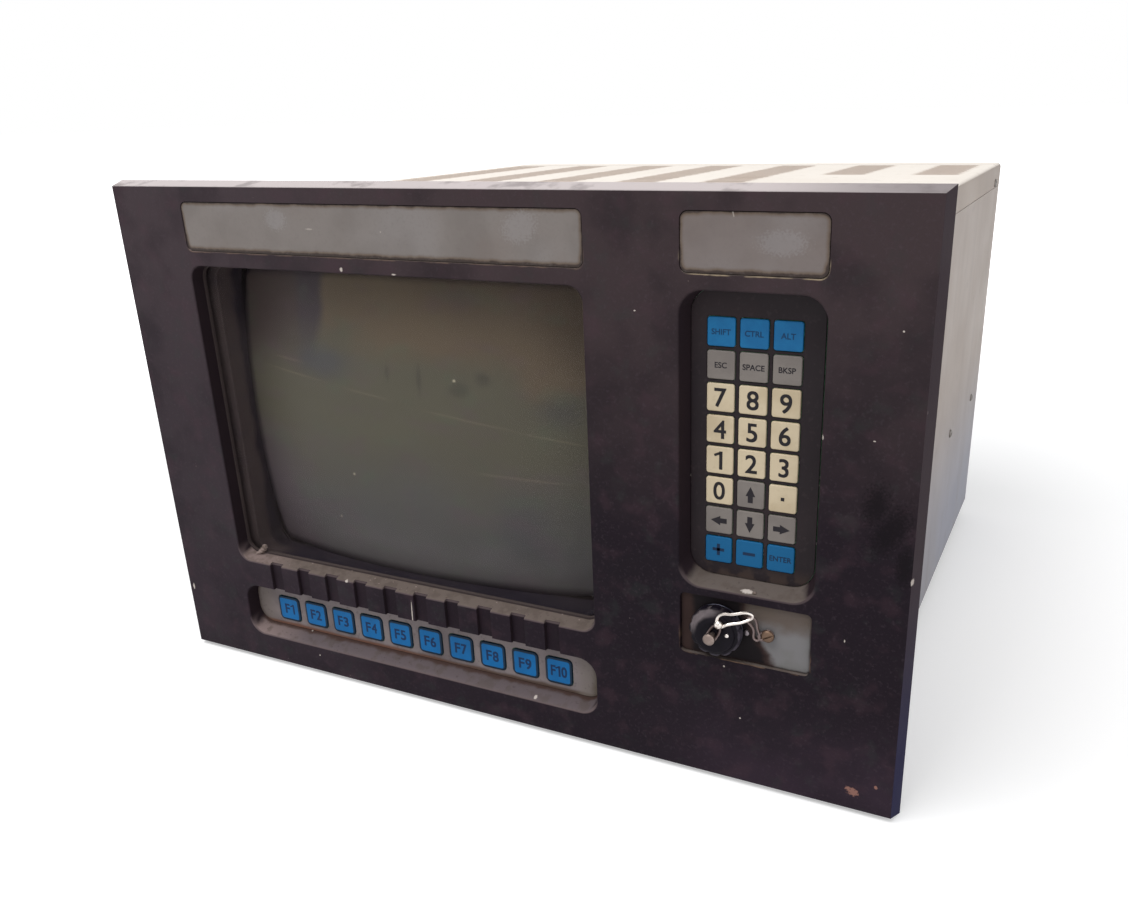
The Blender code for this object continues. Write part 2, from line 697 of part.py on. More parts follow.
def make_deflection_board():
    x = side_board_x()
    half = SIDE_BOARD_HEIGHT / 2
    end = SIDE_BOARD_START + SIDE_BOARD_LENGTH
    board = block(
        "deflection_board", (x, SIDE_BOARD_START, SCREEN_Z - half),
        (x + BOARD, end, SCREEN_Z + half), BOARD_GREEN)
    part_shares = (
        (0.10, 0.34, 0.06, 0.30, 0.156),
        (0.45, 0.60, 0.10, 0.40, 0.070),
        (0.70, 0.95, 0.08, 0.28, 0.110),
        (0.12, 0.30, 0.50, 0.62, 0.100),
        (0.12, 0.30, 0.72, 0.92, 0.060),
        (0.48, 0.92, 0.60, 0.88, 0.050),
    )
    parts = []
    foot = SCREEN_Z - half
    for near, far, low, high, tall in part_shares:
        start = SIDE_BOARD_START + SIDE_BOARD_LENGTH * near
        stop = SIDE_BOARD_START + SIDE_BOARD_LENGTH * far
        reach = x + BOARD + SIDE_BOARD_HEIGHT * tall
        parts.append((
            (x + BOARD / 2, start, foot + SIDE_BOARD_HEIGHT * low),
            (reach, stop, foot + SIDE_BOARD_HEIGHT * high),
        ))
    join(board, blocks("deflection_parts", parts))


def make_yoke():
    """A flared coil round the tube's cone, with a clamp collar on the neck."""
    slip = TUBE_CLEARANCE
    inner_start = CONE_RADIUS + slip
    inner_end = NECK_RADIUS + slip
    profile = [
        (inner_start, CONE_START),
        (inner_end, CONE_END),
        (inner_end, CONE_END + 2 * YOKE_COLLAR),
        (inner_end + YOKE_COLLAR, CONE_END + 2 * YOKE_COLLAR),
        (inner_end + YOKE_COLLAR, CONE_END + YOKE_COLLAR),
        (inner_end + YOKE_WALL, CONE_END + YOKE_COLLAR / 2),
        (inner_start + YOKE_WALL, CONE_START + YOKE_COLLAR),
        (inner_start + YOKE_WALL, CONE_START),
    ]
    turned("deflection_yoke", profile, SCREEN_X, SCREEN_Z, COIL_COPPER)


def make_function_keys():
    strip = slab(
        "function_key_overlay", pocket_outline(ROW_POCKET, PANEL_THICK, -GAP),
        OVERLAY_FRONT, OVERLAY_BACK, STRIP_GREY)
    width, height = FUNCTION_KEY_WIDTH, FUNCTION_KEY_HEIGHT
    play = 2 * FUNCTION_KEY_MARGIN
    corner = FUNCTION_KEY_RADIUS + FUNCTION_KEY_MARGIN
    openings = [
        (rounded(x, z, width + play, height + play, corner, KEY_CORNER_STEPS),
         OVERLAY_FRONT - OVERRUN, OVERLAY_BACK + OVERRUN)
        for x, z in function_key_places()
    ]
    cut(strip, slabs("function_key_openings", openings))
    cap = key_mesh("function_key", width, height, FUNCTION_KEY_RADIUS, KEY_BLUE)
    for number, (x, z) in enumerate(function_key_places(), 1):
        key = place(f"function_key_{number}", cap)
        key.location = at(x, KEY_BACK, z)
    board = pocket_outline(ROW_POCKET, PANEL_THICK, BOARD_LAP)
    slab("function_key_board", board, PANEL_BACK, PANEL_BACK + BOARD, BOARD_GREEN)


def key_mesh(name, width, height, radius, finish):
    """A key about its own origin, which lies in the middle of its back."""
    rise = OVERLAY_FRONT - KEY_RISE - KEY_BACK
    edge = KEY_EDGE
    crown = rounded(0, 0, width - 2 * edge, height - 2 * edge, radius, KEY_CORNER_STEPS)
    body = rounded(0, 0, width, height, radius, KEY_CORNER_STEPS)
    sections = [
        [Vector((x, depth, z)) for x, z in outline]
        for outline, depth in ((crown, rise), (body, rise + edge), (body, 0))
    ]
    bm = bmesh.new()
    add_loft(bm, sections)
    mesh = to_mesh(bm, name)
    mesh.materials.append(finish)
    return mesh


def make_keypad():
    overlay = slab(
        "keypad_overlay", pocket_outline(PAD_POCKET, PANEL_THICK, -GAP),
        OVERLAY_FRONT, OVERLAY_BACK, PAD_BLACK)
    width, height = PAD_KEY_WIDTH, PAD_KEY_HEIGHT
    play = 2 * PAD_KEY_MARGIN
    corner = PAD_KEY_RADIUS + PAD_KEY_MARGIN
    openings = [
        (rounded(x, z, width + play, height + play, corner, KEY_CORNER_STEPS),
         OVERLAY_FRONT - OVERRUN, OVERLAY_BACK + OVERRUN)
        for _, x, z in pad_key_places()
    ]
    cut(overlay, slabs("keypad_openings", openings))
    blue = ("shift", "ctrl", "alt", "plus", "minus", "enter")
    grey = ("esc", "space", "backspace", "up", "left", "down", "right")
    caps = {
        finish.name: key_mesh(f"pad_{finish.name}", width, height, PAD_KEY_RADIUS, finish)
        for finish in (KEY_BLUE, KEY_GREY, KEY_CREAM)
    }
    for name, x, z in pad_key_places():
        finish = KEY_BLUE if name in blue else KEY_GREY if name in grey else KEY_CREAM
        key = place(f"key_{name}", caps[finish.name])
        key.location = at(x, KEY_BACK, z)
    board = pocket_outline(PAD_POCKET, PANEL_THICK, BOARD_LAP)
    slab("keypad_board", board, PANEL_BACK, PANEL_BACK + BOARD, BOARD_GREEN)


def make_connector_plate():
    trim = 2 * GAP
    outline = rounded(
        PAD_X, CONNECTOR_Z, RIGHT_LABEL_WIDTH - trim, CONNECTOR_HEIGHT - trim, CONNECTOR_RADIUS - GAP)
    back = CONNECTOR_SINK + CONNECTOR_THICK
    plate = slab("connector_plate", outline, CONNECTOR_SINK, back, PLATE_GREY)
    cut(plate, slabs("plate_holes", [
        (circle(SOCKET_X, CONNECTOR_Z, SOCKET_RADIUS + GAP), 0, back + OVERRUN),
        (circle(CHAIN_SCREW_X, CHAIN_SCREW_Z, CHAIN_SCREW_SHANK + GAP, CORNER_STEPS * 3),
         0, back + OVERRUN),
    ]))


def make_keyboard_socket():
    """Threaded barrel with a flange on the plate and an insert part-way down its bore."""
    flange_back = CONNECTOR_SINK - GAP
    profile = [
        (0, INSERT_FRONT),
        (SOCKET_BORE, INSERT_FRONT),
        (SOCKET_BORE, -SOCKET_FRONT),
        (SOCKET_RADIUS, -SOCKET_FRONT),
        (SOCKET_RADIUS, flange_back - SOCKET_FLANGE_THICK),
        (SOCKET_FLANGE, flange_back - SOCKET_FLANGE_THICK),
        (SOCKET_FLANGE, flange_back),
        (SOCKET_RADIUS, flange_back),
        (SOCKET_RADIUS, SOCKET_BACK),
        (0, SOCKET_BACK),
    ]
    turned("keyboard_socket", profile, SOCKET_X, CONNECTOR_Z, DARK_METAL)


def make_dust_cap():
    """Bayonet cap over the socket's barrel, with the chain's pin in its middle."""
    rim = CONNECTOR_SINK - GAP - SOCKET_FLANGE_THICK - GAP
    inside = -SOCKET_FRONT - GAP
    bore = SOCKET_RADIUS + CAP_PLAY
    crown = -CAP_CROWN
    neck = -PIN_REACH + PIN_HEAD
    profile = [
        (0, inside),
        (bore, inside),
        (bore, rim),
        (CAP_RADIUS, rim),
        (CAP_RADIUS, -CAP_RING),
        (CAP_CROWN_RADIUS, crown),
        (PIN_RADIUS, crown),
        (PIN_RADIUS, neck),
        (PIN_HEAD_RADIUS, neck),
        (PIN_HEAD_RADIUS, neck - PIN_HEAD / 2),
        (PIN_HEAD_RADIUS / 2, -PIN_REACH),
        (0, -PIN_REACH),
    ]
    cap = turned("dust_cap", profile, 0, 0, DARK_METAL)
    cap.data.transform(Matrix.Translation((0, -FRONT, 0)))
    cap.location = at(SOCKET_X, 0, CONNECTOR_Z)
    flutes = []
    for i in range(CAP_FLUTES):
        turn = math.tau * (i + 0.5) / CAP_FLUTES
        x = SOCKET_X + CAP_RADIUS * math.cos(turn)
        z = CONNECTOR_Z + CAP_RADIUS * math.sin(turn)
        flutes.append((circle(x, z, CAP_FLUTE_RADIUS, CORNER_STEPS * 2), -CAP_CROWN, rim + OVERRUN))
    cut(cap, slabs("cap_flutes", flutes))


def eyelet(x, depth, z, radius, tip):
    """Points of a wire eye round (x, z), drawn out to a tip on one side."""
    start = math.atan2(tip[1] - z, tip[0] - x) + math.pi / 2
    bend = arc(x, z, radius, start, start + math.pi, CORNER_STEPS)
    return [at(px, depth, pz) for px, pz in bend + [tip]]


def make_cap_chain():
    """Lug round the cap's pin, a long link, a short link and an eye under the screw."""
    wire = CHAIN_WIRE
    high = -CAP_CROWN - GAP - wire
    low = CONNECTOR_SINK - GAP - wire
    reach_x = CHAIN_SCREW_X - SOCKET_X
    reach_z = CONNECTOR_HEIGHT / 2

    def spot(across, up):
        return SOCKET_X + reach_x * across, CONNECTOR_Z + reach_z * up

    lug_tip_shares = (0.12, 0.36)
    eye_tip_shares = (0.82, -0.06)
    link_shares = {
        "long_link": (
            (0.10, 0.30, 1.0), (0.32, 0.45, 1.0), (0.66, 0.60, 0.50), (0.72, 0.80, 0.44),
            (0.38, 0.80, 0.84), (0.15, 0.66, 1.0),
        ),
        "short_link": (
            (0.65, 0.66, 0.47), (0.72, 0.66, 0.42), (0.80, 0.25, 0.12), (0.82, -0.12, 0.0),
            (0.76, -0.16, 0.0), (0.72, 0.22, 0.12),
        ),
    }
    links = []
    for name, shares in link_shares.items():
        points = []
        for across, up, out in shares:
            x, z = spot(across, up)
            points.append(at(x, low + (high - low) * out, z))
        links.append(wire_loop(name, points, wire))
    lug_radius = PIN_RADIUS + GAP + wire
    eye_radius = CHAIN_SCREW_SHANK + GAP + wire
    lug_points = eyelet(SOCKET_X, high, CONNECTOR_Z, lug_radius, spot(*lug_tip_shares))
    eye_points = eyelet(CHAIN_SCREW_X, low, CHAIN_SCREW_Z, eye_radius, spot(*eye_tip_shares))
    lug = wire_loop("chain_lug", lug_points, wire)
    eye = wire_loop("cap_chain", eye_points, wire)
    eye.data.materials.append(BRIGHT_WIRE)
    join(eye, links[1], links[0], lug)


def make_chain_screw():
    seat = CONNECTOR_SINK - 2 * GAP - 2 * CHAIN_WIRE
    head = CHAIN_SCREW_HEAD
    profile = [
        (0, seat - head),
        (CHAIN_SCREW_RADIUS - head / 2, seat - head),
        (CHAIN_SCREW_RADIUS, seat - head / 2),
        (CHAIN_SCREW_RADIUS, seat),
        (CHAIN_SCREW_SHANK, seat),
        (CHAIN_SCREW_SHANK, PANEL_THICK),
        (0, PANEL_THICK),
    ]
    turned("chain_screw", profile, CHAIN_SCREW_X, CHAIN_SCREW_Z, BRASS, CORNER_STEPS * 4)


def mirrored(right_side):
    """A full outline from its right half, given from one end on the middle line to the other."""
    return right_side + [(-x, z) for x, z in reversed(right_side)]


def make_case():
    """Floor and sides from one sheet, its edges stepped in behind the cover's flanges."""
    outer = CASE_WIDTH / 2
    tongue = outer - SHEET - GAP
    step = SEAM - GAP
    top = step + TONGUE_HEIGHT
    profile = mirrored([
        (outer, CASE_FOOT), (outer, step), (tongue, step), (tongue, top),
        (tongue - SHEET, top), (tongue - SHEET, step - SHEET), (INNER_X, step - SHEET),
        (INNER_X, CASE_FOOT + SHEET),
    ])
    case = slab("case", profile, PANEL_BACK, CASE_BACK, CASE_PAINT)
    flange = mirrored([
        (INNER_X + SHEET / 2, CASE_FOOT + SHEET / 2), (INNER_X + SHEET / 2, step - SHEET),
        (INNER_X - CASE_FLANGE, step - SHEET), (INNER_X - CASE_FLANGE, CASE_FOOT + SHEET + CASE_FLANGE),
    ])
    join(case, slab("case_front_flange", flange, PANEL_BACK, PANEL_BACK + SHEET))
    posts = []
    for x, depth in standoff_places():
        low = (x - STANDOFF_RADIUS, depth - STANDOFF_RADIUS, CASE_FOOT + SHEET / 2)
        high = (x + STANDOFF_RADIUS, depth + STANDOFF_RADIUS, CASE_FOOT + SHEET + STANDOFF_HEIGHT)
        posts.append((low, high))
    join(case, blocks("board_standoffs", posts))


def standoff_places():
    left = MAIN_BOARD_LEFT + STANDOFF_INSET
    right = MAIN_BOARD_LEFT + MAIN_BOARD_WIDTH - STANDOFF_INSET
    near = MAIN_BOARD_BACK - MAIN_BOARD_LENGTH + STANDOFF_INSET
    far = MAIN_BOARD_BACK - STANDOFF_INSET
    return [(x, depth) for x in (left, right) for depth in (near, far)]


def make_top_cover():
    outer = CASE_WIDTH / 2
    x, z = INNER_X - COVER_BEND, CASE_TOP - SHEET - COVER_BEND
    outside = arc(x, z, COVER_BEND + SHEET, 0, math.pi / 2, CORNER_STEPS - 1)
    inside = arc(x, z, COVER_BEND, 0, math.pi / 2, CORNER_STEPS - 1)
    profile = mirrored([(INNER_X, SEAM), (outer, SEAM)] + outside)
    hollow = mirrored([(INNER_X, SEAM)] + inside)
    outline = profile[1:-1] + hollow[::-1]
    cover = slab("top_cover", outline, PANEL_BACK, CASE_BACK, COVER_PAINT)
    slots = []
    for column in range(VENT_COLUMNS):
        x = VENT_PITCH * (column - (VENT_COLUMNS - 1) / 2)
        short = column >= VENT_COLUMNS - SHORT_COLUMNS
        for row in range(SHORT_VENTS if short else LONG_VENTS):
            depth = CASE_BACK - VENT_REAR - VENT_SPACING * row
            low = (x - VENT_WIDTH / 2, depth - VENT_SLOT, CASE_TOP - SHEET - OVERRUN)
            slots.append((low, (x + VENT_WIDTH / 2, depth, CASE_TOP + OVERRUN)))
    cut(cover, blocks("cover_vents", slots))


def grille_slots():
    """Level slots across the fan's bore, each as long as the bore is wide there."""
    pitch = 2 * FAN_BORE / GRILLE_SLOTS
    slots = []
    for i in range(GRILLE_SLOTS):
        rise = pitch * (i - (GRILLE_SLOTS - 1) / 2)
        half = math.sqrt(FAN_BORE ** 2 - (abs(rise) + GRILLE_SLOT / 2) ** 2)
        low = (FAN_X - half, REAR_INSIDE - OVERRUN, FAN_Z + rise - GRILLE_SLOT / 2)
        slots.append((low, (FAN_X + half, CASE_BACK, FAN_Z + rise + GRILLE_SLOT / 2)))
    return slots


def entry_place():
    """Centre of the power entry, seen on the power supply's rear."""
    x = INNER_X - GAP - SUPPLY_WIDTH / 2 + ENTRY_X_SHIFT
    return x, CASE_FOOT + SHEET + GAP + SUPPLY_HEIGHT / 2


def make_rear_panel():
    half = CASE_WIDTH / 2 - 2 * SHEET - 2 * GAP
    low, high = CASE_FOOT + SHEET + GAP, CASE_TOP - SHEET - GAP
    z = (low + high) / 2
    front = REAR_BACK - REAR_FLANGE
    panel = slab("rear_panel", rectangle(0, z, 2 * half, high - low), front, REAR_BACK, ZINC)
    inner = rectangle(0, z, 2 * (half - SHEET), high - low - 2 * SHEET)
    cut(panel, slab("rear_panel_hollow", inner, front - OVERRUN, REAR_BACK - SHEET))
    x, entry_z = entry_place()
    play = 2 * ROCKER_PLAY
    window = rectangle(x, entry_z, ENTRY_WIDTH + play, ENTRY_HEIGHT + play)
    play = 2 * PORT_PLAY
    windows = [
        (rectangle(port_x, port_z, PORT_WIDTH + play, PORT_HEIGHT + play), front, REAR_BACK + OVERRUN)
        for port_x, port_z in port_places()
    ]
    windows.append((window, front, REAR_BACK + OVERRUN))
    supply = SUPPLY_WIDTH + 2 * GAP
    notch = rectangle(
        INNER_X - supply / 2, CASE_FOOT + SUPPLY_HEIGHT / 2, supply + OVERRUN,
        SUPPLY_HEIGHT + 2 * (SHEET + 2 * GAP))
    cut(panel, blocks("rear_grille", grille_slots()), slabs("rear_windows", windows))
    cut(panel, slab("supply_notch", notch, front - OVERRUN, REAR_BACK - SHEET))


def make_power_supply():
    """Hollow sheet-metal box with vents in front and its power entry through the rear panel."""
    right = INNER_X - GAP
    left = right - SUPPLY_WIDTH
    foot = CASE_FOOT + SHEET + GAP
    top = foot + SUPPLY_HEIGHT
    back = REAR_INSIDE
    front = back - SUPPLY_LENGTH
    supply = block("power_supply", (left, front, foot), (right, back, top), ZINC)
    cut(supply, block(
        "supply_hollow", (left + SHEET, front + SHEET, foot + SHEET),
        (right - SHEET, back - SHEET, top - SHEET)))
    slots = []
    pitch = SUPPLY_HEIGHT / (SUPPLY_SLOTS + 1)
    for i in range(SUPPLY_SLOTS):
        z = foot + pitch * (i + 1)
        low = (left + SUPPLY_WIDTH / SUPPLY_SLOTS, front - OVERRUN, z - SUPPLY_SLOT / 2)
        slots.append((low, (right - SUPPLY_WIDTH / SUPPLY_SLOTS, front + OVERRUN, z + SUPPLY_SLOT / 2)))
    cut(supply, blocks("supply_vents", slots))
    x, z = entry_place()
    end = REAR_BACK + ENTRY_FRONT
    entry = rectangle(x, z, ENTRY_WIDTH, ENTRY_HEIGHT)
    join(supply, slab("power_entry", entry, end - ENTRY_DEPTH, end))
    inlet_x = x - ENTRY_WIDTH / 2 + ENTRY_EDGE + INLET_WIDTH / 2
    inlet = rounded(inlet_x, z, INLET_WIDTH, INLET_HEIGHT, INLET_RADIUS, KEY_CORNER_STEPS)
    rocker_x = x + ENTRY_WIDTH / 2 - ENTRY_EDGE - ROCKER_WIDTH / 2
    play = 2 * ROCKER_PLAY
    seat = rectangle(rocker_x, z, ROCKER_WIDTH + play, ROCKER_HEIGHT + 2 * play)
    cut(supply, slabs("entry_hollows", [
        (inlet, end - INLET_DEPTH, end + OVERRUN),
        (seat, end - ROCKER_SINK - ROCKER_HEIGHT / 2 - play, end + OVERRUN),
    ]))
    root = end - INLET_DEPTH
    pins = [
        (circle(inlet_x + INLET_PIN_PITCH * side, z + INLET_PIN * rise, INLET_PIN, CORNER_STEPS * 2),
         root - INLET_PIN, root + INLET_PIN_LENGTH)
        for side, rise in ((-1, -1), (0, 2), (1, -1))
    ]
    join(supply, slabs("inlet_pins", pins))
    make_power_switch(rocker_x, end - ROCKER_SINK, z)


def make_power_switch(x, depth, z):
    """Rocker resting on one stop, turning about a level pivot just inside its bezel."""
    half = ROCKER_HEIGHT / 2
    belly = half - ROCKER_PLAY
    side_profile = [(half, 0), (half, ROCKER_RISE), (0, ROCKER_DIP), (-half, ROCKER_RISE), (-half, 0)]
    side_profile += arc(0, 0, belly, math.pi, math.tau, CORNER_STEPS * 2)[1:-1]
    tilt = Matrix.Rotation(ROCKER_SWING / 2, 4, "X")
    bm = bmesh.new()
    add_loft(bm, [
        [tilt @ Vector((side * ROCKER_WIDTH / 2, out, up)) for up, out in side_profile]
        for side in (-1, 1)
    ])
    rocker = place("power_switch", to_mesh(bm, "power_switch"), FAN_BLACK)
    rocker.location = at(x, depth, z)


def port_places():
    """Centres of the data ports, which sit on the rear edge of the processor board."""
    z = MAIN_BOARD_FOOT + BOARD / 2 + PORT_FLANGE_HEIGHT / 2
    return [(MAIN_BOARD_LEFT + PORT_START + PORT_PITCH * i, z) for i in range(PORT_COUNT)]


def make_main_board():
    foot = MAIN_BOARD_FOOT
    left = MAIN_BOARD_LEFT
    near = MAIN_BOARD_BACK - MAIN_BOARD_LENGTH
    board = block(
        "processor_board", (left, near, foot),
        (left + MAIN_BOARD_WIDTH, MAIN_BOARD_BACK, foot + BOARD), BOARD_GREEN)
    chip_shares = (
        (0.08, 0.28, 0.10, 0.26, 0.04), (0.08, 0.20, 0.36, 0.46, 0.03), (0.26, 0.38, 0.36, 0.46, 0.03),
        (0.45, 0.49, 0.08, 0.60, 0.12), (0.56, 0.60, 0.08, 0.60, 0.12), (0.67, 0.71, 0.08, 0.60, 0.12),
        (0.78, 0.82, 0.08, 0.60, 0.12), (0.10, 0.50, 0.72, 0.80, 0.05), (0.60, 0.90, 0.74, 0.84, 0.06),
    )
    chips = []
    for x0, x1, y0, y1, rise in chip_shares:
        top = foot + BOARD + MAIN_BOARD_WIDTH * rise
        chips.append((
            (left + MAIN_BOARD_WIDTH * x0, near + MAIN_BOARD_LENGTH * y0, foot + BOARD / 2),
            (left + MAIN_BOARD_WIDTH * x1, near + MAIN_BOARD_LENGTH * y1, top),
        ))
    flanges = []
    shells = []
    for x, z in port_places():
        flange = rectangle(x, z, PORT_FLANGE_WIDTH, PORT_FLANGE_HEIGHT)
        flanges.append((flange, MAIN_BOARD_BACK - PORT_SEAT, REAR_INSIDE))
        shell = rectangle(x, z, PORT_WIDTH, PORT_HEIGHT)
        shells.append((shell, MAIN_BOARD_BACK, REAR_BACK + PORT_REACH))
    join(board, blocks("board_parts", chips), slabs("port_flanges", flanges))
    join(board, slabs("port_shells", shells))


def make_fan():
    back = REAR_INSIDE
    front = back - FAN_DEPTH
    frame = slab("fan_frame", rectangle(FAN_X, FAN_Z, FAN_SIZE, FAN_SIZE), front, back, FAN_BLACK)
    cut(frame, slab("fan_bore", circle(FAN_X, FAN_Z, FAN_BORE), front - OVERRUN, back + OVERRUN))
    strut_back = back
    strut_front = back - FAN_STRUT_THICK
    struts = bmesh.new()
    for i in range(FAN_STRUTS):
        turn = Matrix.Rotation(math.tau * i / FAN_STRUTS, 4, "Y")
        centre = at(FAN_X, 0, FAN_Z)
        inner, outer = FAN_HUB / 2, FAN_BORE + FAN_STRUT_WIDTH / 2
        outline = rectangle((inner + outer) / 2, 0, outer - inner, FAN_STRUT_WIDTH)
        sections = [
            [centre + turn @ Vector((x, depth, z)) for x, z in outline]
            for depth in (strut_front, strut_back)
        ]
        add_loft(struts, sections)
    join(frame, place("fan_struts", to_mesh(struts, "fan_struts")))
    plate = circle(FAN_X, FAN_Z, FAN_HUB, ROUND_STEPS // 2)
    join(frame, slab("fan_motor_plate", plate, strut_front, strut_back))
    shaft = circle(FAN_X, FAN_Z, FAN_SHAFT, CORNER_STEPS * 3)
    join(frame, slab("fan_shaft", shaft, front + FAN_DEPTH / 2, strut_back))

    hub_back = strut_front - GAP
    profile = [
        (0, front), (FAN_HUB, front), (FAN_HUB, hub_back), (FAN_SHAFT + GAP, hub_back),
        (FAN_SHAFT + GAP, front + FAN_DEPTH / 2 - GAP), (0, front + FAN_DEPTH / 2 - GAP),
    ]
    rotor = turned("fan_rotor", profile, 0, 0, FAN_BLACK, ROUND_STEPS // 2)
    rotor.data.transform(Matrix.Translation((0, -FRONT, 0)))
    rotor.location = at(FAN_X, 0, FAN_Z)
    blades = bmesh.new()
    half = FAN_BLADE_THICK / 2
    lean = FAN_HUB / 2
    root = math.sqrt((FAN_HUB - FAN_BLADE_THICK) ** 2 - (lean + half) ** 2)
    tip = math.sqrt((FAN_BORE - FAN_TIP_CLEARANCE) ** 2 - (lean + half) ** 2)
    for i in range(FAN_BLADES):
        turn = Matrix.Rotation(math.tau * i / FAN_BLADES, 4, "Y")
        centre = at(FAN_X, 0, FAN_Z)
        sections = []
        for radius in (root, tip):
            corners = (
                (-lean - half, front), (-lean + half, front),
                (lean + half, hub_back), (lean - half, hub_back),
            )
            sections.append([centre + turn @ Vector((side, depth, radius)) for side, depth in corners])
        add_loft(blades, sections)
    join(rotor, place("fan_blades", to_mesh(blades, "fan_blades")))


clear_scene()
make_front_panel()
make_panel_seal()
make_labels()
make_window()
make_picture_tube()
make_tube_frame()
make_deflection_board()
make_yoke()
make_function_keys()
make_keypad()
make_connector_plate()
make_keyboard_socket()
make_dust_cap()
make_cap_chain()
make_chain_screw()
make_case()
make_top_cover()
make_rear_panel()
make_power_supply()
make_main_board()
make_fan()
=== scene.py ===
"""Looks of the rack-size operator panel: a worn charcoal front with a picture tube, function keys
and a keypad, before a painted sheet-metal case. Metres, +Z up, the front faces -Y."""
import json
import math
import random
from collections import namedtuple

import bmesh
import bpy
from mathutils import Euler, Matrix, Vector


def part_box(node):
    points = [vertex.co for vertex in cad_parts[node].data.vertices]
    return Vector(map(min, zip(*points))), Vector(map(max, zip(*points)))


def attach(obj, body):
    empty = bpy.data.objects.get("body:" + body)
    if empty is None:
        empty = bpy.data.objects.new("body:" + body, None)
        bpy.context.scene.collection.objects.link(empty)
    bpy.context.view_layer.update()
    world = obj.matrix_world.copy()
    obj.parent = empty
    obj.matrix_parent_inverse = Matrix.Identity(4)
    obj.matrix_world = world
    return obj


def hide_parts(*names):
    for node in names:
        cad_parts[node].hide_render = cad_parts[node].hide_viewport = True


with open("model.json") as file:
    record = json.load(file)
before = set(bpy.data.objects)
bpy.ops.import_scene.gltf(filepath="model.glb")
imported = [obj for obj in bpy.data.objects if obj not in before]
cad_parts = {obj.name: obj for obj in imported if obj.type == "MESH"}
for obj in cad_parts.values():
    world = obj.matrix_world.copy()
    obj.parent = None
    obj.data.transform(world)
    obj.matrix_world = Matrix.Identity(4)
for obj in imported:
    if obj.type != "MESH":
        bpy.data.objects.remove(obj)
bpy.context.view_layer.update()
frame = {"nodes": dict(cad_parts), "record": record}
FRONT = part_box("front_panel")[0].y
BODY_OF = {
    node: body
    for body, nodes in frame["record"]["behaviour"]["bodies"].items()
    for node in nodes
}

# Sizes that the frame's boxes don't give
PANEL_THICK = 0.0104
RIM_SLANT = 0.0029
RECESS_FLOOR = 0.0017
PLATE_FLOOR = 0.0035
GROOVE_WIDTH = 0.0095
GROOVE_DEPTH = 0.0025
GROOVE_OFFSET = 0.0013
GROOVES = 10
GROOVE_PITCH = 0.0225
OVERRUN = 0.004
LIP = 0.0009
FINE_EDGE = 0.00025
LABEL_PLAY = 0.0003
PRINT_RISE = 0.00006
SAME_SPOT = 0.000002
SHARP_TURN = math.radians(30)

# How far each arrow key's print is turned, in degrees
TURNS = {"up": 0, "left": 90, "down": 180, "right": -90}

# An outline on the front, and what its side and lower walls lose from its front to its back
Area = namedtuple("Area", "x z width height radius side ledge", defaults=(0.0, 0.0))
SCREEN = Area(-0.0566, 0.1685, 0.2594, 0.1890, 0.0085, 0.0, 0.0035)
ROW = Area(-0.0566, 0.03845, 0.2594, 0.0351, 0.0110, 0.0, 0.0046)
PAD = Area(0.1584, 0.1890, 0.0707, 0.1500, 0.0120, 0.0027, 0.0042)
LIGHT_AREA = Area(-0.0566, 0.1685, 0.2560, 0.1880, 0.0100)
LIGHT_BULGE = 2.0
TUBE_CURVE = 0.5800


def area_of(node, radius, grow=0.0):
    """The outline of a node seen from the front, made larger by grow on every side."""
    low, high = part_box(node)
    middle = (low + high) / 2
    size = high - low
    return Area(middle.x, middle.z, size.x + 2 * grow, size.z + 2 * grow, radius)


def at(x, depth, z):
    """A point given by its depth behind the panel's front face."""
    return Vector((x, FRONT + depth, z))


def srgb(red, green, blue):
    """Linear colour from the 0 to 255 values that an eye or a viewer reads off."""
    def linear(value):
        share = value / 255
        return share / 12.92 if share <= 0.04045 else ((share + 0.055) / 1.055) ** 2.4
    return (linear(red), linear(green), linear(blue), 1.0)


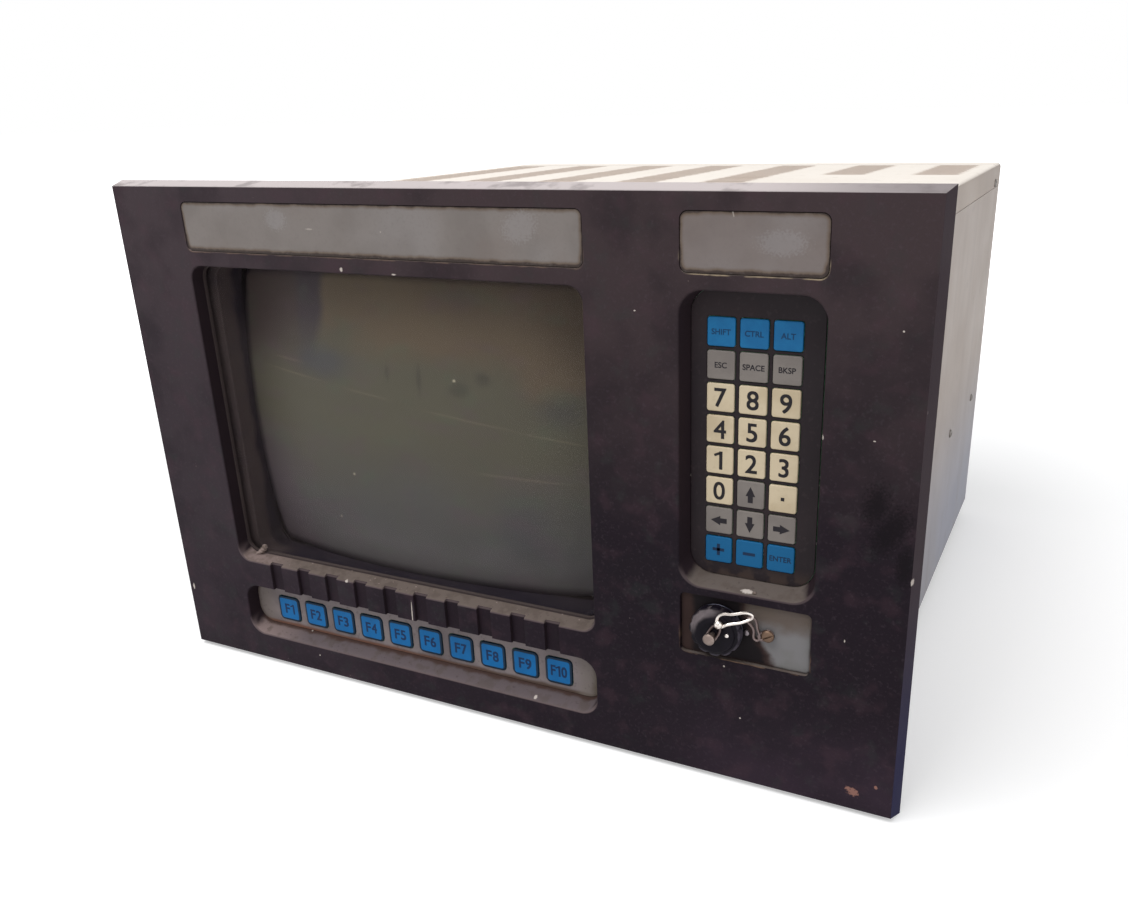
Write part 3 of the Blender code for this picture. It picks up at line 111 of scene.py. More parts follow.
class Finish:
    """One material, built up from its sockets."""

    def __init__(self, name, colour, roughness=0.5, metallic=0.0, specular=0.5):
        self.material = bpy.data.materials.new(name)
        self.material.use_nodes = True
        self.tree = self.material.node_tree
        self.shader = self.tree.nodes["Principled BSDF"]
        self.base = srgb(*colour)
        self.shader.inputs["Base Color"].default_value = self.base
        self.shader.inputs["Roughness"].default_value = roughness
        self.shader.inputs["Metallic"].default_value = metallic
        self.shader.inputs["Specular IOR Level"].default_value = specular
        coordinates = self.tree.nodes.new("ShaderNodeTexCoord")
        self.place = coordinates.outputs["Object"]
        self.normal = coordinates.outputs["Normal"]

    def feed(self, socket, value):
        if isinstance(value, bpy.types.NodeSocket):
            self.tree.links.new(value, socket)
        else:
            socket.default_value = value

    def maths(self, operation, *values, clamp=False):
        made = self.tree.nodes.new("ShaderNodeMath")
        made.operation = operation
        made.use_clamp = clamp
        for socket, value in zip(made.inputs, values):
            self.feed(socket, value)
        return made.outputs[0]

    def vector(self, operation, *values):
        made = self.tree.nodes.new("ShaderNodeVectorMath")
        made.operation = operation
        for socket, value in zip(made.inputs, values):
            self.feed(socket, value)
        return made.outputs["Value" if operation in ("LENGTH", "DOT_PRODUCT", "DISTANCE") else "Vector"]

    def axis(self, name, vector=None):
        made = self.tree.nodes.new("ShaderNodeSeparateXYZ")
        self.feed(made.inputs[0], self.place if vector is None else vector)
        return made.outputs[name]

    def noise(self, scale, detail=3.0, stretch=None, roughness=0.5):
        made = self.tree.nodes.new("ShaderNodeTexNoise")
        where = self.place if stretch is None else self.vector("MULTIPLY", self.place, stretch)
        self.feed(made.inputs["Vector"], where)
        made.inputs["Scale"].default_value = scale
        made.inputs["Detail"].default_value = detail
        made.inputs["Roughness"].default_value = roughness
        return made.outputs[0]

    def cells(self, scale):
        """The outputs of a cell pattern."""
        made = self.tree.nodes.new("ShaderNodeTexVoronoi")
        self.feed(made.inputs["Vector"], self.place)
        made.inputs["Scale"].default_value = scale
        return made.outputs

    def ramp(self, value, start, end, low, high, run="LINEAR"):
        """Go from low to high as value goes from start to end."""
        made = self.tree.nodes.new("ShaderNodeMapRange")
        made.interpolation_type = run
        self.feed(made.inputs["Value"], value)
        for name, number in zip(("From Min", "From Max", "To Min", "To Max"), (start, end, low, high)):
            made.inputs[name].default_value = number
        return made.outputs[0]

    def fade(self, value, start, end):
        """0 at start and 1 at end, with a soft run between them."""
        if end > start:
            return self.ramp(value, start, end, 0.0, 1.0, "SMOOTHSTEP")
        return self.ramp(value, end, start, 1.0, 0.0, "SMOOTHSTEP")

    def spots(self, scale, detail, start, end):
        """Mask of soft spots, where a noise goes past start and end."""
        return self.fade(self.noise(scale, detail), start, end)

    def cloud(self, scale, detail):
        """Noise about 0."""
        return self.maths("SUBTRACT", self.noise(scale, detail), 0.5)

    def shifted(self, value, pattern, size):
        """A value moved by a pattern, which roughens or slants what is made of it."""
        return self.maths("ADD", value, self.maths("MULTIPLY", pattern, size))

    def past(self, name, start):
        """Distance beyond start along an axis."""
        return self.maths("SUBTRACT", self.axis(name), start)

    def overlap(self, first, *others):
        """Where all the masks are."""
        for other in others:
            first = self.maths("MULTIPLY", first, other)
        return first

    def mix(self, share, first, second):
        made = self.tree.nodes.new("ShaderNodeMixRGB")
        for socket, value in zip(made.inputs, (share, first, second)):
            self.feed(socket, value)
        return made.outputs[0]

    def over(self, under, share, colour, strength=1.0):
        """Lay a colour over another one, where the mask is and as far as strength says."""
        if strength != 1.0:
            share = self.maths("MULTIPLY", share, strength)
        return self.mix(share, under, srgb(*colour))

    def paint(self, share, colour, strength=1.0):
        """Lay a colour over what the base colour is so far."""
        self.base = self.over(self.base, share, colour, strength)
        self.feed(self.shader.inputs["Base Color"], self.base)

    def gloss(self, share, low, high):
        """Roughness from low to high as share goes from 0 to 1."""
        self.feed(self.shader.inputs["Roughness"], self.ramp(share, 0.0, 1.0, low, high))

    def bump(self, height, distance, strength):
        made = self.tree.nodes.new("ShaderNodeBump")
        made.inputs["Strength"].default_value = strength
        made.inputs["Distance"].default_value = distance
        self.feed(made.inputs["Height"], height)
        self.feed(self.shader.inputs["Normal"], made.outputs[0])

    def inside(self, area, where=None):
        """Distance from an area's outline, above 0 outside and below 0 inside."""
        core = (area.width / 2 - area.radius, 0, area.height / 2 - area.radius)
        where = self.vector("SUBTRACT", self.place if where is None else where, (area.x, 0, area.z))
        where = self.vector("MULTIPLY", where, (1, 0, 1))
        over = self.vector("SUBTRACT", self.vector("ABSOLUTE", where), core)
        away = self.vector("LENGTH", self.vector("MAXIMUM", over, (0, 0, 0)))
        within = self.maths("MINIMUM", self.maths("MAXIMUM", self.axis("X", over), self.axis("Z", over)), 0.0)
        return self.maths("SUBTRACT", self.maths("ADD", away, within), area.radius)

    def marks(self, places, ragged=0.9, soft=0.5):
        """Mask of small ragged marks, each given as x, z, half width, half height and turn."""
        rough = self.maths("MULTIPLY", self.cloud(900, 2), ragged)
        found = 0.0
        for x, z, half_width, half_height, turn in places:
            made = self.tree.nodes.new("ShaderNodeVectorRotate")
            made.rotation_type = "Y_AXIS"
            self.feed(made.inputs["Vector"], self.vector("SUBTRACT", self.place, (x, 0, z)))
            made.inputs["Angle"].default_value = math.radians(turn)
            share = self.vector("MULTIPLY", made.outputs[0], (1 / half_width, 0, 1 / half_height))
            edge = self.maths("ADD", self.vector("LENGTH", share), rough)
            found = self.maths("MAXIMUM", found, self.fade(edge, 1.1, 1.1 - soft))
        return found


# Marks on the front, each given as x, z, half width, half height and turn in degrees
PALE_MARKS = (
    (-0.0730, 0.2652, 0.0011, 0.0013, 0), (0.1937, 0.2006, 0.0007, 0.0014, 15),
    (0.2262, 0.2512, 0.0005, 0.0005, 0), (0.2172, 0.2014, 0.0007, 0.0004, 0),
    (0.2386, 0.1355, 0.0006, 0.0020, 0), (0.1576, 0.0417, 0.0005, 0.0005, 0),
    (0.1483, 0.0708, 0.0006, 0.0006, 10), (-0.1297, 0.0147, 0.0006, 0.0005, 20),
    (0.0315, 0.0218, 0.0012, 0.0007, 0), (-0.0990, 0.0737, 0.0012, 0.0009, 0),
    (-0.1426, 0.0255, 0.0009, 0.0006, 0), (0.2096, 0.0990, 0.0004, 0.0008, 0),
    (-0.0506, 0.0615, 0.0004, 0.0092, -2), (0.1260, 0.1700, 0.0004, 0.0012, 0),
    (-0.2350, 0.0450, 0.0009, 0.0024, 0), (0.1010, 0.2530, 0.0006, 0.0004, 0),
    (-0.0380, 0.2640, 0.0016, 0.0005, 0), (0.1590, 0.1150, 0.0036, 0.0006, 0),
)
RUST_MARKS = (
    (0.2187, 0.0132, 0.0034, 0.0024, -10), (0.2160, 0.0150, 0.0014, 0.0012, 0),
    (0.2300, 0.0195, 0.0009, 0.0012, 0),
)
DARK_MARKS = (
    (0.2200, 0.1710, 0.0080, 0.0140, -10), (0.2270, 0.1590, 0.0090, 0.0190, -30),
    (0.2350, 0.1430, 0.0060, 0.0140, 0),
)

LABEL_SMEARS = (
    (0.0400, 0.2900, 0.0110, 0.0080, 20), (-0.1150, 0.2905, 0.0080, 0.0060, 0),
    (0.1720, 0.2860, 0.0120, 0.0060, 0),
)
LABEL_SCRATCHES = (
    (0.1490, 0.2990, 0.0004, 0.0026, 15), (-0.0440, 0.2857, 0.0006, 0.0006, 0),
    (-0.0920, 0.2860, 0.0030, 0.0005, 0),
)
# Painted reflections in streaks across the tube's face.
REFLECTED_STREAKS = (
    (-0.1360, 0.1975, 0.0330, 0.0009, -5.5), (-0.0820, 0.1915, 0.0300, 0.0007, -6.5),
    (-0.0100, 0.1815, 0.0420, 0.0008, -7.5), (0.0400, 0.1745, 0.0260, 0.0009, -7.5),
    (-0.1420, 0.2060, 0.0160, 0.0009, -4), (0.0180, 0.1500, 0.0400, 0.0011, -2),
)
SMUDGES = (
    (-0.0630, 0.2050, 0.0022, 0.0050, 0), (-0.0410, 0.2030, 0.0024, 0.0100, 0),
    (-0.0150, 0.1990, 0.0090, 0.0060, 0), (0.0000, 0.2060, 0.0060, 0.0050, 0),
)
# Painted reflections in soft patches on the tube's face.
BLUE_REFLECTIONS = ((-0.1120, 0.2070, 0.0270, 0.0130, 0),)
DARK_REFLECTIONS = ((0.0200, 0.1180, 0.0240, 0.0260, 10), (0.0450, 0.1900, 0.0180, 0.0120, 0))
BRIGHT_DOTS = (
    (-0.0180, 0.2040, 0.0011, 0.0011, 0), (-0.0970, 0.1390, 0.0010, 0.0010, 0),
    (0.0620, 0.1590, 0.0010, 0.0012, 0), (-0.1150, 0.1070, 0.0008, 0.0008, 0),
)


def charcoal_paint():
    """Dark paint with painted light towards the top left and painted shade low down, painted shade in its
    pockets, and dusty pale ledges with painted highlights on their lips.
    """
    finish = Finish("charcoal_paint", (29, 22, 29), 0.68, specular=0.08)
    cloud = finish.cloud(11, 4)
    # Painted light and shade: paler towards the top and the far left, where the light falls, darker low down
    # left of the middle, paler again at the lower right.
    high = finish.shifted(finish.axis("Z"), cloud, 0.14)
    finish.paint(finish.fade(high, 0.12, 0.30), (66, 55, 57), 0.85)
    left = finish.shifted(finish.axis("X"), cloud, -0.16)
    finish.paint(finish.fade(left, 0.04, -0.20), (67, 58, 63), 0.58)
    rows = finish.overlap(finish.fade(finish.axis("Z"), 0.100, 0.060), finish.fade(left, 0.10, -0.05))
    finish.paint(rows, (40, 30, 39), 0.45)
    foot = finish.overlap(finish.fade(finish.axis("Z"), 0.07, 0.01), finish.fade(left, 0.03, 0.20))
    finish.paint(foot, (55, 43, 54), 0.7)
    finish.paint(finish.spots(30, 4, 0.44, 0.68), (29, 25, 30), 0.40)
    finish.paint(finish.spots(70, 3, 0.50, 0.70), (72, 52, 60), 0.24)
    finish.paint(finish.spots(95, 3, 0.54, 0.72), (50, 56, 54), 0.20)
    grain = finish.noise(520, 4, roughness=0.7)
    finish.paint(finish.fade(grain, 0.52, 0.72), (84, 72, 80), 0.18)
    finish.paint(finish.marks(DARK_MARKS, 1.2, 0.9), (15, 11, 15), 0.80)
    paint_pockets(finish)
    paint_rim(finish)
    finish.paint(finish.marks(RUST_MARKS, 2.0), (140, 102, 92))
    finish.paint(finish.marks(PALE_MARKS), (190, 180, 172))
    finish.paint(finish.spots(300, 1, 0.82, 0.84), (128, 114, 112), 0.45)
    finish.gloss(finish.noise(30, 3), 0.58, 0.78)
    finish.bump(grain, 0.00012, 0.5)
    return finish.material


def paint_pockets(finish):
    """Painted shade on the walls of the pockets and grooves and on the groove floors, dusty ledges with
    painted shade at the back of the row's ledge, painted highlights on the pockets' lower lips, and worn lips
    of the recesses.
    """
    rough = finish.cloud(150, 4)
    depth = finish.past("Y", FRONT)
    core = finish.inside(Area(0, 0.1552, 0.4600, 0.2900, 0))
    inner = finish.fade(core, 0.001, -0.001)
    facing = finish.maths("ABSOLUTE", finish.axis("Y", finish.normal))
    # Painted shade: the walls inside the pockets and grooves are painted near black.
    walls = finish.overlap(finish.fade(depth, 0.0003, 0.0012), finish.fade(facing, 0.90, 0.50))
    finish.paint(finish.overlap(walls, inner), (36, 27, 31), 0.9)
    # Painted shade: the groove floors are painted darker.
    floors = finish.overlap(finish.fade(depth, 0.0015, 0.0022), finish.fade(facing, 0.50, 0.90))
    finish.paint(finish.overlap(floors, inner), (34, 25, 31), 0.45)
    # Painted highlight along the lower lip of each pocket.
    for area, share in ((SCREEN, 0.55), (ROW, 0.75), (PAD, 0.35)):
        lip = finish.fade(finish.maths("ABSOLUTE", finish.inside(area)), 0.0011, 0.0003)
        foot = area.z - area.height / 2
        low = finish.fade(finish.axis("Z"), foot + 0.012, foot + 0.003)
        finish.paint(finish.overlap(lip, low), (112, 98, 98), share)
    for node, colour, corner in (
        ("connector_plate", (112, 90, 74), 0.0027), ("right_label_plate", (150, 134, 112), 0.0037),
        ("left_label_plate", (96, 80, 72), 0.0037),
    ):
        area = area_of(node, corner)
        lip = finish.shifted(finish.inside(area), rough, 0.0012)
        lip = finish.fade(finish.maths("ABSOLUTE", finish.maths("SUBTRACT", lip, 0.0005)), 0.0006, 0.0001)
        low = finish.fade(finish.axis("Z"), area.z, area.z - area.height / 2)
        worn = finish.spots(70, 3, 0.42, 0.58)
        finish.paint(finish.overlap(lip, low, worn), colour)

    up = finish.shifted(finish.axis("Z", finish.normal), rough, 0.25)
    ledge = finish.overlap(finish.fade(up, 0.55, 0.80), inner)
    on_row = finish.fade(finish.axis("Z"), 0.066, 0.060)
    on_pad = finish.fade(finish.axis("X"), 0.090, 0.100)
    cream = finish.fade(finish.axis("X"), -0.135, -0.178)
    dust = finish.mix(on_row, srgb(105, 94, 88), srgb(98, 88, 90))
    dust = finish.over(dust, on_pad, (98, 89, 84))
    dust = finish.over(dust, cream, (142, 124, 120), 0.7)
    dust = finish.over(dust, finish.fade(rough, -0.04, 0.12), (84, 74, 68), 0.45)
    dust = finish.over(dust, finish.spots(420, 3, 0.62, 0.72), (64, 54, 52), 0.40)
    # Painted shade at the back of the row's ledge, deep in its pocket.
    deep = finish.shifted(depth, rough, 0.004)
    ledge_shade = finish.overlap(finish.fade(deep, 0.0066, 0.0090), on_row)
    dust = finish.over(dust, ledge_shade, (72, 54, 48), 0.9)
    finish.base = finish.mix(finish.maths("MULTIPLY", ledge, 0.93), finish.base, dust)
    finish.feed(finish.shader.inputs["Base Color"], finish.base)


def paint_rim(finish):
    """Pale top edge, dust and a painted highlight from the light above, with worn spots and a darker right
    end, and a right edge that turns blue towards its foot.
    """
    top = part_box("front_panel")[1].z
    # Painted highlight with dust along the top edge, darker towards its right end.
    up = finish.fade(finish.axis("Z", finish.normal), 0.3, 0.8)
    rim = finish.overlap(finish.fade(finish.axis("Z"), top - 0.0034, top - 0.0024), up)
    finish.paint(rim, (192, 183, 182))
    end = finish.overlap(rim, finish.fade(finish.axis("X"), 0.15, 0.235))
    finish.paint(end, (128, 121, 122), 0.85)
    worn = finish.overlap(rim, finish.spots(60, 4, 0.50, 0.66))
    finish.paint(worn, (104, 96, 96), 0.5)
    side = finish.fade(finish.axis("X", finish.normal), 0.5, 0.9)
    side = finish.overlap(side, finish.fade(finish.axis("X"), 0.236, 0.2385))
    finish.paint(side, (54, 44, 49))
    low = finish.fade(finish.axis("Z"), 0.15, 0.02)
    finish.paint(finish.overlap(side, low), (34, 32, 62))


def label_foil(name, area, colour):
    """Satin grey foil with brown dirt along its edges, thickest at the bottom."""
    finish = Finish(name, colour, 0.55, specular=0.25)
    finish.paint(finish.spots(38, 4, 0.42, 0.70), tuple(v - 9 for v in colour))
    finish.paint(finish.spots(14, 2, 0.50, 0.68), (138, 134, 134), 0.30)
    finish.paint(finish.spots(22, 3, 0.50, 0.70), (116, 104, 98), 0.30)
    edge = finish.inside(area)
    edge = finish.shifted(edge, finish.noise(160, 3), 0.0022)
    low = finish.fade(finish.axis("Z"), area.z, area.z - area.height / 2)
    edge = finish.shifted(edge, low, 0.0009)
    finish.paint(finish.fade(edge, -0.0014, 0.0008), (92, 76, 62), 0.85)
    finish.paint(finish.fade(edge, 0.0002, 0.0012), (42, 32, 30), 0.9)
    finish.paint(finish.marks(LABEL_SMEARS, 1.6), (158, 156, 158), 0.22)
    finish.paint(finish.marks(LABEL_SCRATCHES, 1.2), (166, 158, 150), 0.7)
    grain = finish.noise(600, 3)
    finish.paint(finish.fade(grain, 0.5, 0.75), (106, 98, 94), 0.22)
    finish.gloss(finish.noise(45, 3), 0.46, 0.66)
    finish.bump(grain, 0.00005, 0.35)
    return finish.material


def strip_foil(area):
    """Beige-grey foil of the function-key row, stained orange below and olive at its right end."""
    finish = Finish("strip_foil", (134, 124, 124), 0.6, specular=0.16)
    finish.paint(finish.spots(40, 4, 0.42, 0.70), (112, 103, 104))
    left = area.x - area.width / 2
    start = finish.fade(finish.axis("X"), left + 0.020, left + 0.006)
    finish.paint(start, (126, 116, 110), 0.7)
    edge = finish.shifted(finish.inside(area), finish.noise(140, 3), 0.0030)
    finish.paint(finish.fade(edge, -0.0012, 0.0022), (74, 60, 52), 0.75)
    low = finish.shifted(finish.axis("Z"), finish.noise(70, 3), 0.004)
    low = finish.fade(low, area.z - area.height / 2 + 0.0052, area.z - area.height / 2 + 0.0026)
    orange = finish.maths("MULTIPLY", finish.fade(finish.axis("X"), 0.02, -0.10), 0.75)
    stain = finish.mix(orange, srgb(78, 60, 48), srgb(118, 74, 54))
    finish.base = finish.mix(finish.maths("MULTIPLY", low, 0.8), finish.base, stain)
    end = finish.shifted(finish.axis("X"), finish.noise(60, 3), 0.012)
    right = area.x + area.width / 2
    finish.paint(finish.fade(end, right - 0.014, right - 0.004), (128, 119, 112), 0.6)
    finish.paint(finish.fade(end, right - 0.003, right + 0.004), (82, 72, 54), 0.75)
    finish.paint(finish.spots(420, 3, 0.58, 0.72), (76, 66, 64), 0.30)
    finish.gloss(finish.noise(45, 3), 0.50, 0.74)
    finish.bump(finish.noise(600, 3), 0.00004, 0.3)
    return finish.material


def pad_foil():
    finish = Finish("pad_foil", (29, 21, 25), 0.58, specular=0.18)
    finish.paint(finish.spots(30, 4, 0.45, 0.70), (38, 29, 32))
    finish.paint(finish.spots(420, 3, 0.55, 0.75), (64, 54, 56), 0.22)
    low = finish.fade(finish.axis("Z"), PAD.z - PAD.height / 2 + 0.016, PAD.z - PAD.height / 2 + 0.004)
    finish.paint(finish.overlap(low, finish.spots(120, 3, 0.45, 0.62)), (58, 46, 42))
    finish.gloss(finish.noise(60, 3), 0.44, 0.66)
    finish.bump(finish.noise(500, 3), 0.00005, 0.3)
    return finish.material


def key_foil(name, colour, darker, roughness=0.5, lowest=None):
    """Printed key top with a little wear and finger dirt, and another colour in the lowest row."""
    finish = Finish(name, colour, roughness, specular=0.20)
    finish.paint(finish.spots(70, 3, 0.42, 0.72), darker, 0.6)
    finish.paint(finish.spots(360, 4, 0.55, 0.78), darker, 0.35)
    if lowest:
        finish.paint(finish.fade(finish.axis("Z"), PAD.z, PAD.z - PAD.height / 4), lowest)
    finish.gloss(finish.noise(90, 3), roughness - 0.08, roughness + 0.14)
    finish.bump(finish.noise(450, 3), 0.00005, 0.3)
    return finish.material


def tube_glass():
    """Phosphor behind grey glass, bulged, grey-green lower down, with painted reflections in brown at the top
    and in soft patches and streaks, painted shade at its top left and a painted shadow along its edge.
    """
    finish = Finish("tube_glass", (30, 24, 33), 0.40, specular=0.12)
    finish.paint(finish.spots(22, 3, 0.42, 0.66), (26, 23, 32))
    flat = finish.vector("SUBTRACT", finish.place, (SCREEN.x, 0, SCREEN.z))
    offset = finish.vector("MULTIPLY", flat, (1, 0, 1))
    bulge = finish.maths("MULTIPLY_ADD", finish.vector("DOT_PRODUCT", offset, offset), LIGHT_BULGE, 1.0)
    made = finish.tree.nodes.new("ShaderNodeVectorMath")
    made.operation = "SCALE"
    finish.feed(made.inputs[0], offset)
    finish.feed(made.inputs["Scale"], bulge)
    centred = LIGHT_AREA._replace(x=0, z=0)
    # Painted shadow along the edge of the face, where it fades into the dark base colour.
    lit = finish.fade(finish.inside(centred, made.outputs[0]), 0.0018, -0.0065)
    x, z = finish.axis("X"), finish.axis("Z")
    # glow holds the face's grey-green and painted reflections in soft tones, olive to brown towards the top
    # right; nothing here gives off light.
    cloud = finish.cloud(16, 4)
    drift = finish.shifted(z, cloud, 0.06)
    glow = finish.mix(finish.fade(drift, 0.105, 0.175), srgb(80, 79, 78), srgb(87, 84, 72))
    glow = finish.over(glow, finish.fade(drift, 0.115, 0.085), (92, 89, 90))
    corner = finish.overlap(finish.fade(x, -0.120, -0.165), finish.fade(drift, 0.185, 0.120))
    glow = finish.over(glow, corner, (90, 80, 86), 0.8)
    fall = finish.shifted(drift, x, 0.115)
    glow = finish.over(glow, finish.fade(fall, 0.202, 0.222), (98, 86, 71))
    dim = finish.shifted(fall, x, 0.20)
    glow = finish.over(glow, finish.fade(dim, 0.226, 0.262), (84, 71, 60), 0.65)
    # Painted shade at the top left.
    slant = finish.shifted(x, z, -0.23)
    slant = finish.shifted(slant, cloud, 0.03)
    shade = finish.overlap(finish.fade(slant, -0.162, -0.171), finish.fade(drift, 0.196, 0.232))
    inner = finish.mix(finish.fade(x, -0.134, -0.126), srgb(72, 62, 62), srgb(64, 57, 64))
    glow = finish.mix(finish.maths("MULTIPLY", shade, 0.9), glow, inner)
    # Painted reflections in soft patches and streaks.
    glow = finish.over(glow, finish.marks(BLUE_REFLECTIONS, 1.2, 0.9), (70, 72, 82), 0.55)
    glow = finish.over(glow, finish.marks(DARK_REFLECTIONS, 1.6, 0.9), (62, 62, 70), 0.35)
    glow = finish.over(glow, finish.marks(REFLECTED_STREAKS, 0.8, 0.8), (122, 114, 96), 0.30)
    glow = finish.over(glow, finish.marks(SMUDGES, 0.9, 0.8), (56, 50, 50), 0.40)
    tint = finish.fade(finish.noise(60, 3, (0.5, 1, 1)), 0.52, 0.70)
    glow = finish.over(glow, tint, (92, 74, 84), 0.22)
    tint = finish.fade(finish.noise(75, 3, (0.5, 1, 1)), 0.54, 0.70)
    glow = finish.over(glow, tint, (84, 98, 80), 0.18)
    dust = finish.fade(finish.noise(600, 3, roughness=0.7), 0.52, 0.72)
    glow = finish.over(glow, dust, (128, 120, 108), 0.14)
    finish.base = finish.mix(lit, finish.base, glow)
    finish.paint(finish.marks(BRIGHT_DOTS), (168, 160, 138), 0.8)
    finish.gloss(finish.noise(20, 3), 0.36, 0.50)
    return finish.material


def window_glass():
    """Thin clear sheet with a film of dust, which wiping left uneven."""
    finish = Finish("window_glass", (104, 94, 90), 0.12, specular=0.04)
    smear = finish.noise(18, 4, (1, 1, 3))
    finish.feed(finish.shader.inputs["Alpha"], finish.ramp(smear, 0.35, 0.75, 0.02, 0.07))
    finish.gloss(smear, 0.08, 0.16)
    return finish.material


def mask_moulding():
    """Black moulding round the tube, painted lighter on its left flank, which the light reaches, and darker
    deep inside as painted shade.
    """
    finish = Finish("mask_moulding", (30, 25, 34), 0.7, specular=0.15)
    # Painted light on the left flank.
    flank = finish.shifted(finish.axis("X"), finish.noise(40, 3), 0.010)
    finish.paint(finish.fade(flank, -0.150, -0.168), (68, 58, 58), 0.9)
    # Painted shade deep inside the mask.
    depth = finish.past("Y", FRONT)
    deep = finish.shifted(depth, finish.noise(60, 3), 0.008)
    finish.paint(finish.fade(deep, 0.0260, 0.0320), (28, 22, 32), 0.9)
    finish.paint(finish.spots(50, 4, 0.48, 0.70), (38, 34, 44), 0.3)
    finish.gloss(finish.noise(80, 3), 0.62, 0.84)
    finish.bump(finish.noise(500, 3), 0.00005, 0.3)
    return finish.material


def case_paint():
    """Beige enamel of the case, cooler towards its foot."""
    finish = Finish("case_paint", (165, 152, 143), 0.55, specular=0.20)
    low = finish.fade(finish.axis("Z"), 0.17, 0.03)
    finish.paint(low, (151, 154, 169), 0.85)
    finish.paint(finish.spots(7, 4, 0.45, 0.70), (150, 140, 133), 0.35)
    drips = finish.noise(60, 4, (1, 1, 0.12))
    finish.paint(finish.fade(drips, 0.50, 0.72), (140, 128, 122), 0.22)
    finish.paint(finish.spots(60, 4, 0.60, 0.74), (134, 124, 118), 0.25)
    foot = finish.past("Z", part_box("case")[0].z)
    foot = finish.shifted(foot, finish.noise(90, 3), 0.005)
    finish.paint(finish.fade(foot, 0.0048, 0.0024), (108, 98, 92), 0.5)
    finish.gloss(finish.noise(24, 3), 0.40, 0.62)
    finish.bump(finish.noise(420, 3), 0.00008, 0.35)
    return finish.material


def cover_paint():
    """Cream enamel of the cover, painted pale on top as light from above, with brown bands along its slot
    columns and a brown line painted as the shade of a crease behind.
    """
    finish = Finish("cover_paint", (170, 157, 147), 0.55, specular=0.20)
    # Painted light: what faces up is painted pale.
    up = finish.fade(finish.axis("Z", finish.normal), 0.6, 0.9)
    finish.paint(up, (238, 230, 220))
    finish.paint(finish.spots(8, 4, 0.45, 0.70), (208, 194, 180), 0.22)
    # Brown bands along the slot columns, running on in front of them on the left.
    along = finish.past("Y", FRONT)
    x = finish.axis("X")
    pitch = 0.0625
    near = finish.maths("ROUND", finish.maths("DIVIDE", x, pitch))
    column = finish.maths("SUBTRACT", x, finish.maths("MULTIPLY", near, pitch))
    spread = finish.shifted(finish.maths("ABSOLUTE", column), finish.noise(80, 3), 0.006)
    near = finish.fade(spread, 0.0215, 0.0140)
    slots = finish.fade(along, 0.415, 0.405)
    right = finish.maths("MAXIMUM", finish.fade(x, 0.098, 0.092), finish.fade(along, 0.295, 0.305))
    band = finish.overlap(near, slots, finish.overlap(right, up))
    finish.paint(band, (160, 132, 112), 0.62)
    # Painted shade of a crease across the top, near the back.
    crease = finish.fade(finish.maths("ABSOLUTE", finish.maths("SUBTRACT", along, 0.4205)), 0.0014, 0.0006)
    finish.paint(finish.overlap(crease, up), (140, 112, 96), 0.55)
    finish.paint(finish.spots(150, 4, 0.60, 0.76), (166, 150, 134), 0.25)
    finish.gloss(finish.noise(24, 3), 0.46, 0.66)
    finish.bump(finish.noise(420, 3), 0.00008, 0.35)
    return finish.material


def plate_paint(area):
    """Grey plate, clean at its right, black left of that with dirt and the cap's painted shadow, and rusty at
    its left end.
    """
    finish = Finish("plate_paint", (120, 118, 119), 0.65, specular=0.12)
    finish.paint(finish.spots(60, 4, 0.45, 0.68), (104, 103, 98), 0.45)
    rough = finish.cloud(80, 4)
    right = finish.past("X", area.x)
    rise = finish.past("Z", area.z)
    top = finish.shifted(rise, rough, 0.012)
    finish.paint(finish.fade(top, 0.001, 0.010), (86, 71, 60), 0.75)
    # The cap's painted shadow, with dirt: brown, then black, left of and below a slanting line.
    slant = finish.shifted(right, rise, 0.50)
    slant = finish.shifted(slant, rough, 0.014)
    finish.paint(finish.fade(slant, 0.0100, 0.0045), (60, 45, 42))
    finish.paint(finish.fade(slant, 0.0072, 0.0016), (18, 13, 16))
    edge = finish.shifted(finish.axis("X"), rough, 0.006)
    left = area.x - area.width / 2
    finish.paint(finish.fade(edge, left + 0.0085, left + 0.0045), (56, 41, 38), 0.85)
    edge = finish.shifted(finish.inside(area), finish.noise(160, 3), 0.0016)
    finish.paint(finish.fade(edge, -0.0006, 0.0010), (46, 34, 32), 0.8)
    finish.gloss(finish.noise(60, 3), 0.56, 0.80)
    finish.bump(finish.noise(260, 4), 0.00010, 0.5)
    return finish.material


def worn_metal(name, colour, worn, roughness, share=0.5):
    """Metal with a fine grain and patches of another tone."""
    finish = Finish(name, colour, roughness, metallic=1.0)
    finish.paint(finish.spots(110, 4, 0.45, 0.68), worn, share)
    finish.paint(finish.spots(900, 3, 0.52, 0.75), worn, share * 0.6)
    finish.gloss(finish.noise(160, 3), roughness - 0.10, roughness + 0.18)
    finish.bump(finish.noise(700, 3), 0.00004, 0.4)
    return finish.material


